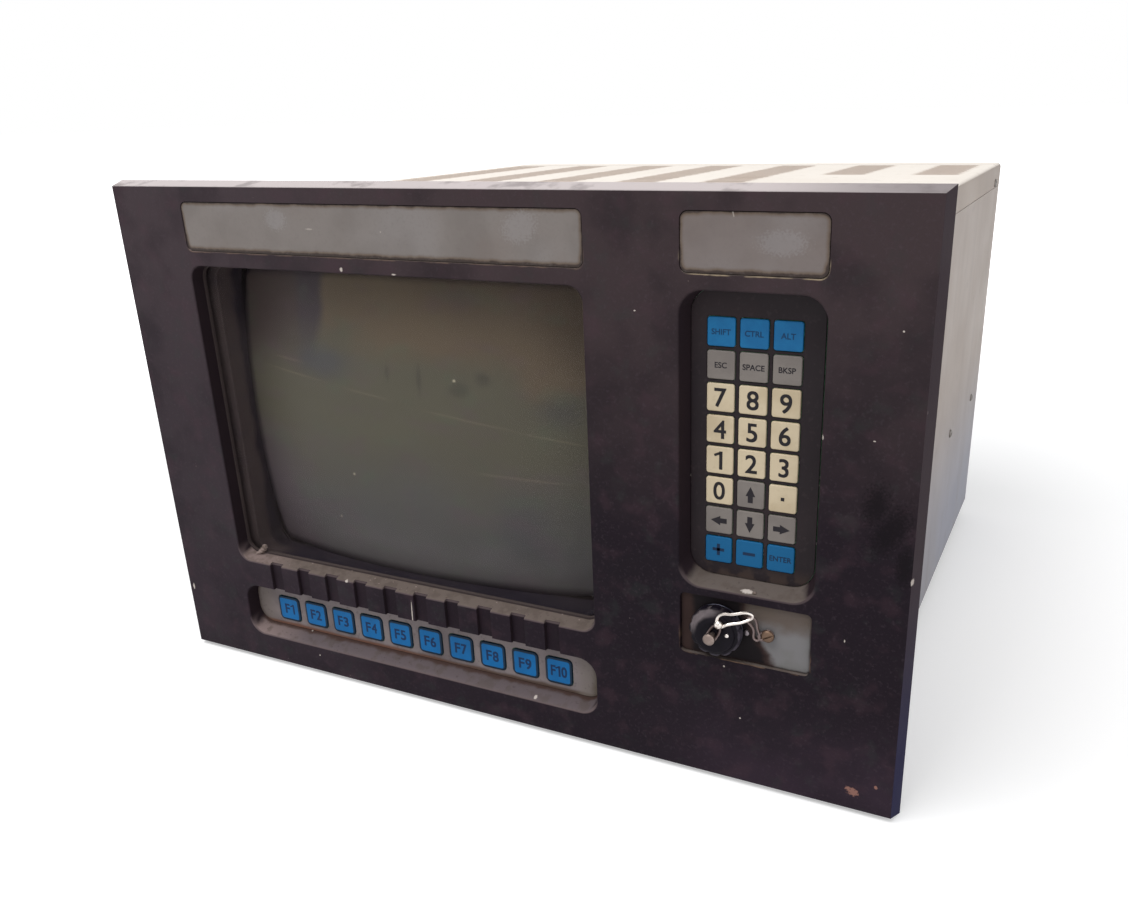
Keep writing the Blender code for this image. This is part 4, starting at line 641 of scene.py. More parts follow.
def cap_paint(socket):
    """Black anodised cap with a painted highlight on its upper left shoulder and along its lower right rim.
    """
    finish = Finish("cap_paint", (15, 11, 19), 0.46, specular=0.10)
    across = finish.vector("SUBTRACT", finish.place, (socket.x, 0, socket.z))
    across = finish.vector("MULTIPLY", across, (1, 0, 1))
    reach = finish.vector("LENGTH", across)
    turn = finish.maths("SUBTRACT", finish.axis("Z", across), finish.axis("X", across))
    reach = finish.shifted(reach, finish.cloud(260, 4), 0.002)
    # Painted highlight on the upper left shoulder.
    shoulder = finish.overlap(finish.fade(reach, 0.0084, 0.0104), finish.fade(turn, 0.007, 0.015))
    shoulder = finish.overlap(shoulder, finish.fade(reach, 0.0136, 0.0124))
    finish.paint(shoulder, (114, 105, 107), 0.85)
    # Painted highlight along the lower right rim.
    rim = finish.overlap(finish.fade(reach, 0.0122, 0.0132), finish.fade(turn, 0.004, -0.008))
    finish.paint(rim, (84, 78, 88), 0.6)
    finish.paint(finish.spots(120, 4, 0.5, 0.7), (36, 30, 40), 0.25)
    finish.gloss(finish.noise(160, 3), 0.40, 0.58)
    finish.bump(finish.noise(700, 3), 0.00004, 0.4)
    return finish.material


def plain_moulding(name, colour, dusty, roughness=0.5):
    """Moulded plastic or rubber with a film of dust on what faces up."""
    finish = Finish(name, colour, roughness, specular=0.30)
    up = finish.shifted(finish.axis("Z", finish.normal), finish.noise(70, 3), 0.5)
    finish.paint(finish.fade(up, 0.75, 1.3), dusty, 0.6)
    finish.paint(finish.spots(90, 4, 0.50, 0.72), dusty, 0.25)
    finish.gloss(finish.noise(80, 3), roughness - 0.08, roughness + 0.14)
    finish.bump(finish.noise(500, 3), 0.00006, 0.4)
    return finish.material


def board_mask():
    """Solder mask over copper tracks, which run in short steps along the board."""
    finish = Finish("board_mask", (22, 78, 44), 0.35)
    tracks = finish.noise(1.0, 1, (420, 60, 420))
    finish.paint(finish.fade(tracks, 0.50, 0.53), (44, 112, 66), 0.7)
    finish.paint(finish.fade(finish.cells(240)["Distance"], 0.22, 0.14), (150, 150, 140))
    finish.gloss(tracks, 0.30, 0.42)
    return finish.material


def zinc_sheet():
    """Zinc-plated sheet with soft spangle and a few scratches."""
    finish = Finish("zinc_sheet", (150, 150, 148), 0.38, metallic=0.9)
    spangle = finish.axis("X", finish.cells(130)["Color"])
    finish.paint(spangle, (118, 120, 122), 0.24)
    scratch = finish.fade(finish.noise(40, 3, (1, 1, 14)), 0.64, 0.68)
    finish.paint(scratch, (184, 184, 182), 0.4)
    finish.gloss(spangle, 0.30, 0.46)
    finish.bump(finish.noise(300, 3), 0.00005, 0.3)
    return finish.material


# Shaping helpers

def settle(bm, verts, size, turn, axis, spot):
    """Scale some points, turn them by degrees about an axis, and move them."""
    bmesh.ops.scale(bm, vec=size, verts=verts)
    bmesh.ops.rotate(bm, matrix=Matrix.Rotation(math.radians(turn), 3, axis), verts=verts)
    bmesh.ops.translate(bm, vec=spot, verts=verts)


def block(size, turn, middle):
    """A box, turned about the Y axis."""
    bm = bmesh.new()
    bmesh.ops.create_cube(bm, size=1)
    settle(bm, bm.verts, size, turn, "Y", middle)
    return bm


def ball(radius, middle, squash=1):
    bm = bmesh.new()
    bmesh.ops.create_icosphere(bm, subdivisions=3, radius=radius)
    settle(bm, bm.verts, (1, squash, 1), 0, "Y", middle)
    return bm


def verts_of(made):
    return [item for item in made if isinstance(item, bmesh.types.BMVert)]


def front_face(bm, area, depth, steps=8):
    """A face with round corners that looks to the front."""
    made = bmesh.ops.create_grid(bm, x_segments=1, y_segments=1, size=0.5)["verts"]
    settle(bm, made, (area.width, area.height, 1), 90, "X", at(area.x, depth, area.z))
    face = made[0].link_faces[0]
    if area.radius:
        before = set(bm.faces) - {face}
        bmesh.ops.bevel(
            bm, geom=made, offset=area.radius, offset_type="OFFSET", segments=steps, profile=0.5,
            affect="VERTICES", clamp_overlap=False, material=-1,
        )
        face = next(f for f in bm.faces if f not in before)
    return face


def add_slab(bm, area, near, far, steps=8):
    """A solid between two depths, its back drawn in as the area says. Returns its front."""
    face = front_face(bm, area, near, steps)
    back = verts_of(bmesh.ops.extrude_face_region(bm, geom=[face])["geom"])
    bmesh.ops.translate(bm, vec=(0, far - near, 0), verts=back)
    for vert in back:
        vert.co.x += area.side if vert.co.x < area.x else -area.side
        if vert.co.z < area.z:
            vert.co.z += area.ledge
    return face


def slab(area, near, far, steps=8):
    return slabs([(area, near, far)], steps)


def slabs(pieces, steps=8):
    """Several separate solids in one bmesh."""
    bm = bmesh.new()
    for area, near, far in pieces:
        add_slab(bm, area, near, far, steps)
    bmesh.ops.recalc_face_normals(bm, faces=bm.faces)
    return bm


def mesh_of(name, bm):
    mesh = bpy.data.meshes.new(name)
    bm.to_mesh(mesh)
    bm.free()
    return mesh


def linked(name, data):
    """A new object in the scene."""
    made = bpy.data.objects.new(name, data)
    bpy.context.scene.collection.objects.link(made)
    return made


def carved(bm, *tools):
    """The shape left when tools are cut from it."""
    target, *guides = [linked("helper", mesh_of("helper", shape)) for shape in (bm, *tools)]
    for guide in guides:
        step = target.modifiers.new("step", "BOOLEAN")
        step.operation = "DIFFERENCE"
        step.object = guide
    bpy.context.view_layer.update()
    shaped = bmesh.new()
    shaped.from_mesh(target.evaluated_get(bpy.context.evaluated_depsgraph_get()).to_mesh())
    for item in [target, *guides]:
        mesh = item.data
        bpy.data.objects.remove(item)
        bpy.data.meshes.remove(mesh)
    return shaped


def sharp_edges(bm, chosen=None):
    return [
        edge for edge in bm.edges
        if edge.is_manifold and edge.calc_face_angle() > SHARP_TURN and (chosen is None or chosen(edge))
    ]


def soften(bm, size, segments=2, chosen=None, clamp=True):
    """Round the sharp edges, or those of them that are chosen."""
    bmesh.ops.bevel(
        bm, geom=sharp_edges(bm, chosen), offset=size, offset_type="OFFSET", segments=segments,
        profile=0.5, affect="EDGES", clamp_overlap=clamp, material=-1,
    )
    return bm


def spun(points, middle, steps, ring=False):
    """Spin a line of points about the Y axis through middle; the line of a ring is closed."""
    bm = bmesh.new()
    verts = [bm.verts.new(point) for point in points]
    ends = verts[1:] + verts[:1] if ring else verts[1:]
    edges = [bm.edges.new(pair) for pair in zip(verts, ends)]
    bmesh.ops.spin(
        bm, geom=verts + edges, cent=middle, axis=(0, 1, 0), angle=math.tau, steps=steps, use_merge=True)
    bmesh.ops.remove_doubles(bm, verts=bm.verts, dist=SAME_SPOT)
    bmesh.ops.delete(bm, geom=[edge for edge in bm.edges if not edge.link_faces], context="EDGES")
    bmesh.ops.recalc_face_normals(bm, faces=bm.faces)
    return bm


def turned(profile, x, z, steps):
    """Spin (radius, depth) points, both ends on the axis, about the axis through (x, z)."""
    return spun([at(x + radius, depth, z) for radius, depth in profile], at(x, 0, z), steps)


def quarter(steps=6):
    """Angles from 0 to a quarter of a turn."""
    return [math.pi / 2 * i / steps for i in range(steps + 1)]


def dome(radius, top, drop):
    """(radius, depth) points of a domed head, from the middle of its top outwards."""
    return [(radius * math.sin(turn), top + drop * (1 - math.cos(turn))) for turn in quarter()]


def wire(points, radius):
    """Closed loop of round wire through the points."""
    curve = bpy.data.curves.new("wire", "CURVE")
    curve.dimensions = "3D"
    curve.bevel_depth = radius
    curve.bevel_resolution = 3
    curve.resolution_u = 8
    spline = curve.splines.new("BEZIER")
    spline.bezier_points.add(len(points) - 1)
    for knot, point in zip(spline.bezier_points, points):
        knot.co = point
        knot.handle_left_type = "AUTO"
        knot.handle_right_type = "AUTO"
    spline.use_cyclic_u = True
    guide = bpy.data.objects.new("wire", curve)
    mesh = bpy.data.meshes.new_from_object(guide)
    bpy.data.objects.remove(guide)
    bpy.data.curves.remove(curve)
    return as_bmesh(mesh)


def as_bmesh(mesh):
    bm = bmesh.new()
    bm.from_mesh(mesh)
    bpy.data.meshes.remove(mesh)
    bmesh.ops.remove_doubles(bm, verts=bm.verts, dist=0.000001)
    bmesh.ops.recalc_face_normals(bm, faces=bm.faces)
    return bm


def lettering(text, height, x, z, depth, weight=0.0, widest=None, squeeze=1.0):
    """Raised print, centred on (x, z) and looking to the front; weight widens its strokes."""
    curve = bpy.data.curves.new("lettering", "FONT")
    curve.body = text
    curve.extrude = thick = 0.01
    guide = bpy.data.objects.new("lettering", curve)
    mesh = bpy.data.meshes.new_from_object(guide)
    bpy.data.objects.remove(guide)
    bpy.data.curves.remove(curve)
    glyph = as_bmesh(mesh)
    across = [v.co.x for v in glyph.verts]
    upward = [v.co.y for v in glyph.verts]
    tall = (height - weight) / (max(upward) - min(upward))
    wide = tall * squeeze
    if widest is not None:
        wide = min(wide, (widest - weight) / (max(across) - min(across)))
    middle = Vector(((max(across) + min(across)) / 2, (max(upward) + min(upward)) / 2, 0))
    bmesh.ops.translate(glyph, vec=-middle, verts=glyph.verts)
    bmesh.ops.scale(glyph, vec=(wide, tall, PRINT_RISE / thick), verts=glyph.verts)
    bmesh.ops.rotate(glyph, matrix=Matrix.Rotation(math.pi / 2, 3, "X"), verts=glyph.verts)
    corners = [(-1, -1), (-1, 1), (1, -1), (1, 1)] if weight else [(0, 0)]
    bm = bmesh.new()
    for step, (right, up) in enumerate(corners):
        copy = glyph.copy()
        spot = at(x + right * weight / 2, depth - PRINT_RISE / 20 * step, z + up * weight / 2)
        bmesh.ops.translate(copy, vec=spot, verts=copy.verts)
        add(bm, copy)
    glyph.free()
    return bm


def arrow(turn, x, z, depth):
    """Short thick arrow as a print, pointing up when turn is 0."""
    length, shaft, head = 0.0084, 0.0026, 0.0050
    bm = bmesh.new()
    tip = bmesh.ops.create_circle(bm, segments=3, radius=1.0, cap_ends=True)["verts"]
    base = min(v.co.y for v in tip)
    bmesh.ops.translate(bm, vec=(0, -base, 0), verts=tip)
    bmesh.ops.scale(bm, vec=(head / math.sqrt(3), head / 1.5, 1), verts=tip)
    stem = bmesh.ops.create_grid(bm, x_segments=1, y_segments=1, size=0.5)["verts"]
    rest = length - head
    bmesh.ops.scale(bm, vec=(shaft, rest, 1), verts=stem)
    bmesh.ops.translate(bm, vec=(0, -rest / 2, 0), verts=stem)
    bmesh.ops.translate(bm, vec=(0, length / 2 - head, 0), verts=bm.verts)
    raised = verts_of(bmesh.ops.extrude_face_region(bm, geom=bm.faces)["geom"])
    bmesh.ops.translate(bm, vec=(0, 0, PRINT_RISE), verts=raised)
    bmesh.ops.recalc_face_normals(bm, faces=bm.faces)
    bmesh.ops.rotate(bm, matrix=Matrix.Rotation(math.radians(turn), 3, "Z"), verts=bm.verts)
    bmesh.ops.rotate(bm, matrix=Matrix.Rotation(math.pi / 2, 3, "X"), verts=bm.verts)
    bmesh.ops.translate(bm, vec=at(x, depth, z), verts=bm.verts)
    return bm


def add(bm, other, index=0):
    """Add another shape to bm, in the material slot with that index."""
    for face in other.faces:
        face.material_index = index
    mesh = mesh_of("part", other)
    bm.from_mesh(mesh)
    bpy.data.meshes.remove(mesh)
    return bm


def piece(name, bm, finishes, body="housing", nodes=(), angle=35, weighted=True):
    """Finish a shape as a named piece that rides on a body and may stand for CAD nodes."""
    mesh = mesh_of(name, bm)
    for finish in finishes if isinstance(finishes, (list, tuple)) else [finishes]:
        mesh.materials.append(finish)
    mesh.shade_smooth()
    mesh.set_sharp_from_angle(angle=math.radians(angle))
    made = linked(name, mesh)
    if weighted:
        step = made.modifiers.new("weighted", "WEIGHTED_NORMAL")
        step.keep_sharp = True
    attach(made, body)
    if nodes:
        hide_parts(*nodes)
    return made


def shape_of(node):
    """A CAD node's own shape as clean faces."""
    bm = bmesh.new()
    bm.from_mesh(frame["nodes"][node].data)
    bmesh.ops.remove_doubles(bm, verts=bm.verts, dist=0.00001)
    bmesh.ops.dissolve_limit(bm, angle_limit=math.radians(1), verts=bm.verts, edges=bm.edges)
    return bm


def dressed(name, node, finishes, edge=0.0003, segments=2, sort=None):
    """A CAD node's own shape with its edges rounded, standing for that node."""
    bm = soften(shape_of(node), edge, segments)
    if sort is not None:
        for face in bm.faces:
            face.material_index = sort(face)
    return piece(name, bm, finishes, BODY_OF[node], [node])


# The front panel and what lies in its recesses

def groove_places():
    start = ROW.x - GROOVE_PITCH * (GROOVES - 1) / 2 + GROOVE_OFFSET
    return [start + GROOVE_PITCH * i for i in range(GROOVES)]


def pocket(area):
    """Cutter of a pocket, with its slopes run on past both faces of the panel."""
    over = OVERRUN / PANEL_THICK
    side, ledge = area.side * over, area.ledge * over
    grown = area._replace(
        z=area.z - ledge / 2, width=area.width + 2 * side, height=area.height + ledge,
        side=area.side * (1 + 2 * over), ledge=area.ledge * (1 + 2 * over))
    return grown, -OVERRUN, PANEL_THICK + OVERRUN


def make_panel():
    low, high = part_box("front_panel")
    size = high - low
    middle = at((low.x + high.x) / 2, PANEL_THICK / 2, (low.z + high.z) / 2)
    bm = block((size.x, PANEL_THICK, size.z), 0, middle)
    slant = (1 - 2 * RIM_SLANT / size.x, 1, 1 - 2 * RIM_SLANT / size.z)
    front = [v for v in bm.verts if v.co.y < middle.y]
    bmesh.ops.scale(bm, vec=slant, space=Matrix.Translation(-middle), verts=front)
    pockets = slabs([pocket(SCREEN), pocket(ROW), pocket(PAD)], 10)
    labels = slabs([
        (area_of("left_label_plate", 0.0040, LABEL_PLAY), -OVERRUN, RECESS_FLOOR),
        (area_of("right_label_plate", 0.0040, LABEL_PLAY), -OVERRUN, RECESS_FLOOR),
        (area_of("connector_plate", 0.0030, LABEL_PLAY), -OVERRUN, PLATE_FLOOR),
    ])
    foot = ROW.z + ROW.height / 2
    head = SCREEN.z - SCREEN.height / 2
    land = Area(0, (foot + head) / 2, GROOVE_WIDTH, head - foot + 2 * OVERRUN, 0)
    grooves = slabs([(land._replace(x=x), -OVERRUN, GROOVE_DEPTH) for x in groove_places()])
    socket = area_of("keyboard_socket", 0)
    bore = turned([(0, -OVERRUN), (0.0113, -OVERRUN), (0.0113, 0.015), (0, 0.015)], socket.x, socket.z, 32)
    bm = carved(bm, pockets, labels, grooves, bore)
    bmesh.ops.remove_doubles(bm, verts=bm.verts, dist=0.000005)
    bmesh.ops.dissolve_limit(bm, angle_limit=math.radians(0.5), verts=bm.verts, edges=bm.edges)

    def on_front(edge):
        return all(abs(v.co.y - FRONT) < 0.00002 for v in edge.verts)

    def near_pocket(edge):
        reach = 0.0006
        x, _, z = (edge.verts[0].co + edge.verts[1].co) / 2
        return on_front(edge) and any(
            abs(x - a.x) < a.width / 2 + reach and abs(z - a.z) < a.height / 2 + reach
            for a in (SCREEN, ROW, PAD))

    soften(bm, LIP, 3, near_pocket, clamp=False)
    soften(bm, FINE_EDGE, 2, lambda edge: on_front(edge) and not near_pocket(edge), clamp=False)
    piece("panel_plate", bm, charcoal_paint(), nodes=["front_panel"])


def make_studs(finish):
    """Threaded studs on the panel's back, each with turned rings for its thread."""
    low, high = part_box("front_panel")
    length = high.y - FRONT - PANEL_THICK
    radius, pitch, inset, end, rows = 0.0024, 0.0008, 0.0195, 0.030, 4
    profile = [(0, 0), (radius * 1.5, 0), (radius * 1.1, 0.0008)]
    turns = int((length - 0.002) / pitch)
    for i in range(turns):
        start = 0.001 + pitch * i
        profile += [(radius * 0.86, start), (radius, start + pitch / 2)]
    profile += [(radius * 0.8, length), (0, length)]
    bm = bmesh.new()
    for side in (low.x + inset, high.x - inset):
        for row in range(rows):
            z = end + (high.z - low.z - 2 * end) / (rows - 1) * row
            stud = turned([(r, PANEL_THICK - 0.0001 + depth) for r, depth in profile], side, z, 16)
            add(bm, stud)
    piece("clamp_studs", bm, finish)


def make_labels():
    for node, name, colour in (
        ("left_label_plate", "left_label", (123, 116, 112)),
        ("right_label_plate", "right_label", (117, 108, 105)),
    ):
        area = area_of(node, 0.0037)
        low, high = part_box(node)
        bm = slab(area, low.y - FRONT, high.y - FRONT)
        soften(bm, 0.00018)
        piece(name, bm, label_foil(f"{name}_foil", area, colour), nodes=[node])


def make_screen():
    """Bead, window, picture tube and its frame, from the front to the back."""
    depth = 0.0084
    rise = SCREEN.ledge * depth / PANEL_THICK
    play = 0.0001
    outer = SCREEN._replace(
        z=SCREEN.z + rise / 2, width=SCREEN.width - 2 * play, height=SCREEN.height - rise - 2 * play,
        ledge=SCREEN.ledge - rise)
    width = 0.0007
    hole = outer._replace(
        width=outer.width - 2 * width, height=outer.height - 2 * width, radius=outer.radius - width, ledge=0)
    hole = hole._replace(z=hole.z + outer.ledge / 2, height=hole.height - outer.ledge)
    bm = carved(slab(outer, depth, PANEL_THICK + 0.0001), slab(hole, depth - 0.001, depth + 0.004))
    soften(bm, 0.0002, 2)
    bead = plain_moulding("bead_rubber", (56, 46, 46), (76, 66, 62), 0.7)
    piece("window_bead", bm, bead)
    dressed("window_sheet", "safety_window", window_glass(), 0.0004)
    dressed("tube_mask", "tube_frame", mask_moulding(), 0.0005)
    make_tube()


def make_tube():
    low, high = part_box("picture_tube")
    middle = (low + high) / 2
    half = (high - low) / 2
    round_share = 0.13
    bm = bmesh.new()
    bmesh.ops.create_grid(bm, x_segments=56, y_segments=44, size=1.0)
    for vert in bm.verts:
        u, v = vert.co.x, vert.co.y
        x = half.x * u * math.sqrt(1 - round_share * v * v)
        z = half.z * v * math.sqrt(1 - round_share * u * u)
        bulge = TUBE_CURVE - math.sqrt(TUBE_CURVE ** 2 - x * x - z * z)
        vert.co = (middle.x + x, low.y + bulge, middle.z + z)
    skirt, cone_start, cone_end = FRONT + 0.045, FRONT + 0.185, FRONT + 0.230
    cone, neck = 0.034, 0.0145
    rings = [(share, skirt + (cone_start - skirt) * share, cone) for share in (0.0, 0.25, 0.55, 0.85, 1.0)]
    rings += [(1.0, cone_end, neck), (1.0, high.y, neck), (1.0, high.y, neck / 3)]
    ring = [edge for edge in bm.edges if edge.is_boundary]
    for share, y, radius in rings:
        made = bmesh.ops.extrude_edge_only(bm, edges=ring)["geom"]
        ring = [item for item in made if isinstance(item, bmesh.types.BMEdge) and item.is_boundary]
        ease = math.sin(share * math.pi / 2) ** 2
        for vert in verts_of(made):
            side = Vector((vert.co.x - middle.x, vert.co.z - middle.z))
            spot = side.lerp(side.normalized() * radius, ease)
            vert.co = (middle.x + spot.x, y, middle.z + spot.y)
    bmesh.ops.holes_fill(bm, edges=ring, sides=0)
    bmesh.ops.recalc_face_normals(bm, faces=bm.faces)
    piece("tube_bulb", bm, tube_glass(), nodes=["picture_tube"], angle=60)


def key_cap(node, radius, line):
    """Key with rounded edges; line is the width of the dark outline round its top."""
    low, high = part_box(node)
    front, back = low.y - FRONT, high.y - FRONT
    rise = 0.00035
    bm = bmesh.new()
    add_slab(bm, area_of(node, radius), front + rise, back, 6)
    bmesh.ops.recalc_face_normals(bm, faces=bm.faces)
    face = min(bm.faces, key=lambda f: f.calc_center_median().y)
    for width, lift in ((0.00010, 0.00020), (0.00022, 0.00015), (max(line, 0.0004), 0.0)):
        bmesh.ops.inset_individual(bm, faces=[face], thickness=width, depth=lift, use_even_offset=True)
    if line:
        for item in bm.faces:
            item.material_index = 0 if item is face else 1
    return bm, front


def make_keys(finishes, outline, prints):
    """Caps of all the keys, each with its plain legend."""
    keys = {f"function_key_{i}": (f"F{i}", "function_blue") for i in range(1, 11)}
    blue = {"shift": "SHIFT", "ctrl": "CTRL", "alt": "ALT", "plus": "+", "minus": "-", "enter": "ENTER"}
    grey = {"esc": "ESC", "space": "SPACE", "backspace": "BKSP"}
    grey |= {name: name for name in TURNS}
    cream = {name: name for name in "0123456789"} | {"point": "."}
    for finish, group in (("key_blue", blue), ("key_grey", grey), ("key_cream", cream)):
        for name, text in group.items():
            keys[f"key_{name}"] = (text, finish)
    for node, (text, finish) in keys.items():
        wide = node.startswith("function")
        bm, front = key_cap(node, 0.0028 if wide else 0.0012, 0.0010 if wide else 0.0)
        legend = legend_of(text, area_of(node, 0), front, wide)
        add(bm, legend, 2)
        ink = prints["faint"] if text in ("SHIFT", "CTRL", "ALT") else prints[finish]
        looks = [finishes[finish], outline, ink]
        piece(f"{node}_cap", bm, looks, BODY_OF[node], [node], weighted=False)


def legend_of(text, key, depth, wide):
    """The print on a key: an arrow, a bar, a cross, a point, a word or a number."""
    x, z = key.x, key.z
    if text in TURNS:
        return arrow(TURNS[text], x, z, depth)
    if text == ".":
        return bars([(x, z, 0.0018, 0.0018, 0)], depth)
    if text == "-":
        return bars([(x, z, 0.0064, 0.0016, 0)], depth)
    if text == "+":
        return bars([(x, z, 0.0062, 0.0016, 0), (x, z, 0.0016, 0.0062, 0)], depth)
    if wide:
        return characters(text, 0.0070, 0.0122 if len(text) > 2 else 0.0092, x, z, depth, 0.00040)
    if len(text) > 1:
        return lettering(text, 0.0028, x, z, depth, 0.00012, widest=0.0112)
    return characters(text, 0.0094, 0.0082, x, z, depth, 0.00034)


def characters(text, height, width, x, z, depth, weight):
    """Numbers and letters side by side, with a 1 that has its flag."""
    bm = bmesh.new()
    share = 0.80 if text == "F10" else 1.0
    spans = [0.45 if char == "1" and len(text) > 1 else 1.0 for char in text]
    step = width / sum(spans)
    start = x - width / 2
    for char, span in zip(text, spans):
        middle = start + step * span / 2
        start += step * span
        if char == "1":
            stem = 0.18 * height
            add(bm, bars([
                (middle + stem * 0.4, z, stem, height, 0),
                (middle - stem * 0.75, z + height * 0.335, stem * 1.9, stem * 0.75, 24),
            ], depth))
        else:
            add(bm, lettering(char, height, middle, z, depth, weight, step * 0.88 * span, share))
    return bm


def bars(places, depth):
    """Straight strokes as a print, each given as x, z, width, height and turn."""
    bm = bmesh.new()
    for x, z, width, height, turn in places:
        stroke = slab(Area(0, 0, width, height, 0), -PRINT_RISE, 0)
        spin = Matrix.Rotation(math.radians(-turn), 3, "Y")
        bmesh.ops.rotate(stroke, matrix=spin, cent=at(0, 0, 0), verts=stroke.verts)
        bmesh.ops.translate(stroke, vec=(x, depth, z), verts=stroke.verts)
        add(bm, stroke)
    return bm


def make_overlays(dark_foil):
    """Foils round the keys, cut out for them."""
    for node, name, radius, corner, margin, keys in (
        ("function_key_overlay", "function_key_foil", 0.0107, 0.0033, 0.0005,
         [f"function_key_{i}" for i in range(1, 11)]),
        ("keypad_overlay", "keypad_foil", 0.0117, 0.0016, 0.0004,
         [n for n in frame["nodes"] if n.startswith("key_")]),
    ):
        low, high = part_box(node)
        area = area_of(node, radius)
        front, back = low.y - FRONT, high.y - FRONT
        bm = slab(area, front, back, 12)
        holes = [(area_of(key, corner, margin), front - 0.002, back + 0.002) for key in keys]
        bm = carved(bm, slabs(holes, 5))
        bmesh.ops.dissolve_limit(bm, angle_limit=math.radians(0.5), verts=bm.verts, edges=bm.edges)
        soften(bm, 0.00012, 2)
        finish = strip_foil(area) if node == "function_key_overlay" else dark_foil
        piece(name, bm, finish, nodes=[node])


# The keyboard connector with its cap and chain

def make_connector(dark, contact, pin, lit_wire, shaded_wire, brass, rivet_metal):
    area = area_of("connector_plate", 0.0027)
    low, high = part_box("connector_plate")
    front, back = low.y - FRONT, high.y - FRONT
    socket = area_of("keyboard_socket", 0)
    screw = area_of("chain_screw", 0)
    bm = slab(area, front, back)
    cutter = turned([(0, 0), (0.0113, 0), (0.0113, 0.01), (0, 0.01)], socket.x, socket.z, 48)
    hole = turned([(0, 0), (0.0016, 0), (0.0016, 0.01), (0, 0.01)], screw.x, screw.z, 24)
    bm = carved(bm, cutter, hole)
    soften(bm, 0.00015, 2)
    piece("connector_base", bm, plate_paint(area), nodes=["connector_plate"])
    make_socket(socket, dark, contact)
    make_cap(socket, cap_paint(socket), pin, lit_wire)
    make_chain(socket, screw, front, lit_wire, shaded_wire)
    make_chain_screw(screw, brass)
    rise = 0.0012
    head = [(0, 0), (0.0008, 0.0001), (0.0014, 0.0005), (0.0016, rise), (0, rise)]
    bm = turned([(r, front - rise + d) for r, d in head], 0.1596, socket.z - 0.0002, 24)
    piece("plate_rivet", bm, rivet_metal)


def make_socket(socket, dark, contact):
    """Barrel with a flange, a contact insert and a thread behind the panel."""
    low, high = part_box("keyboard_socket")
    front, back = low.y - FRONT, high.y - FRONT
    radius, bore, flange = 0.0110, 0.0088, 0.0136
    profile = [
        (0, 0.0040), (bore, 0.0040), (bore, front + 0.0004), (bore + 0.0004, front),
        (radius - 0.0004, front), (radius, front + 0.0004), (radius, 0.0003), (flange - 0.0003, 0.0003),
        (flange, 0.0006), (flange, 0.0014), (flange - 0.0003, 0.0017), (radius, 0.0017), (radius, 0.0120),
    ]
    pitch = 0.0010
    for i in range(int((back - 0.0130) / pitch)):
        start = 0.0120 + pitch * i
        profile += [(radius - 0.0006, start + pitch / 2), (radius, start + pitch)]
    profile += [(radius - 0.0006, back), (0, back)]
    bm = turned(profile, socket.x, socket.z, 48)
    contact_pin = [(0, 0.0012), (0.0006, 0.0016), (0.0006, 0.0041), (0, 0.0041)]
    circle = 0.0052
    for i in range(5):
        turn = math.radians(180 + 45 * i)
        pin_x = socket.x + circle * math.cos(turn)
        pin_z = socket.z + circle * math.sin(turn) + 0.002
        add(bm, turned(contact_pin, pin_x, pin_z, 12), 1)
    piece("socket_barrel", bm, [dark, contact], nodes=["keyboard_socket"])


def make_cap(socket, dark, pin, lit_wire):
    """Fluted bayonet cap with a headed pin in its middle."""
    low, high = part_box("dust_cap")
    reach = FRONT - low.y
    rim = high.y - FRONT
    radius, bore, inside = 0.0139, 0.0114, -0.0045
    crown_radius, crown, ring, step = 0.0112, 0.0068, 0.0044, 0.0010
    profile = [
        (0, inside), (bore, inside), (bore, rim), (radius - 0.0004, rim), (radius, rim - 0.0004),
        (radius, -ring + 0.0005), (radius - 0.0004, -ring), (crown_radius + 0.0006, -ring - 0.0003),
        (crown_radius + 0.0002, -ring - 0.0008),
    ]
    for turn in quarter():
        drawn_in = 0.0016 * (1 - math.cos(turn))
        profile.append((crown_radius - drawn_in, -ring - step - (crown - ring - step) * math.sin(turn)))
    profile += [
        (0.0068, -crown), (0.0060, -crown + 0.0005), (0.0034, -crown + 0.0005), (0.0026, -crown),
        (0, -crown),
    ]
    bm = turned(profile, socket.x, socket.z, 96)
    flutes, flute_depth, skin = 12, 0.075, 0.0010
    middle = Vector((socket.x, socket.z))
    for vert in bm.verts:
        side = Vector((vert.co.x, vert.co.z)) - middle
        if side.length > radius - skin:
            wave = (0.5 - 0.5 * math.cos(flutes * math.atan2(side.y, side.x))) ** 3
            vert.co.x, vert.co.z = middle + side * (1 - flute_depth * wave)
    head, neck = 0.0031, 0.0015
    stem = [
        (0, -crown + 0.0002), (neck, -crown + 0.0002), (neck, -reach + 0.0026),
        (head - 0.0003, -reach + 0.0026), (head, -reach + 0.0022), (head, -reach + 0.0009),
        (head - 0.0008, -reach + 0.0002), (head - 0.0016, -reach), (0, -reach),
    ]
    add(bm, turned(stem, socket.x, socket.z, 40), 1)
    # A small stud near the crown's edge, in the wire metal's copy painted bright as lit, for a glint.
    add(bm, ball(0.0012, at(socket.x + 0.0074, -crown + 0.0003, socket.z + 0.0006), 0.6), 2)
    piece("bayonet_cap", bm, [dark, pin, lit_wire], BODY_OF["dust_cap"], ["dust_cap"], angle=40)


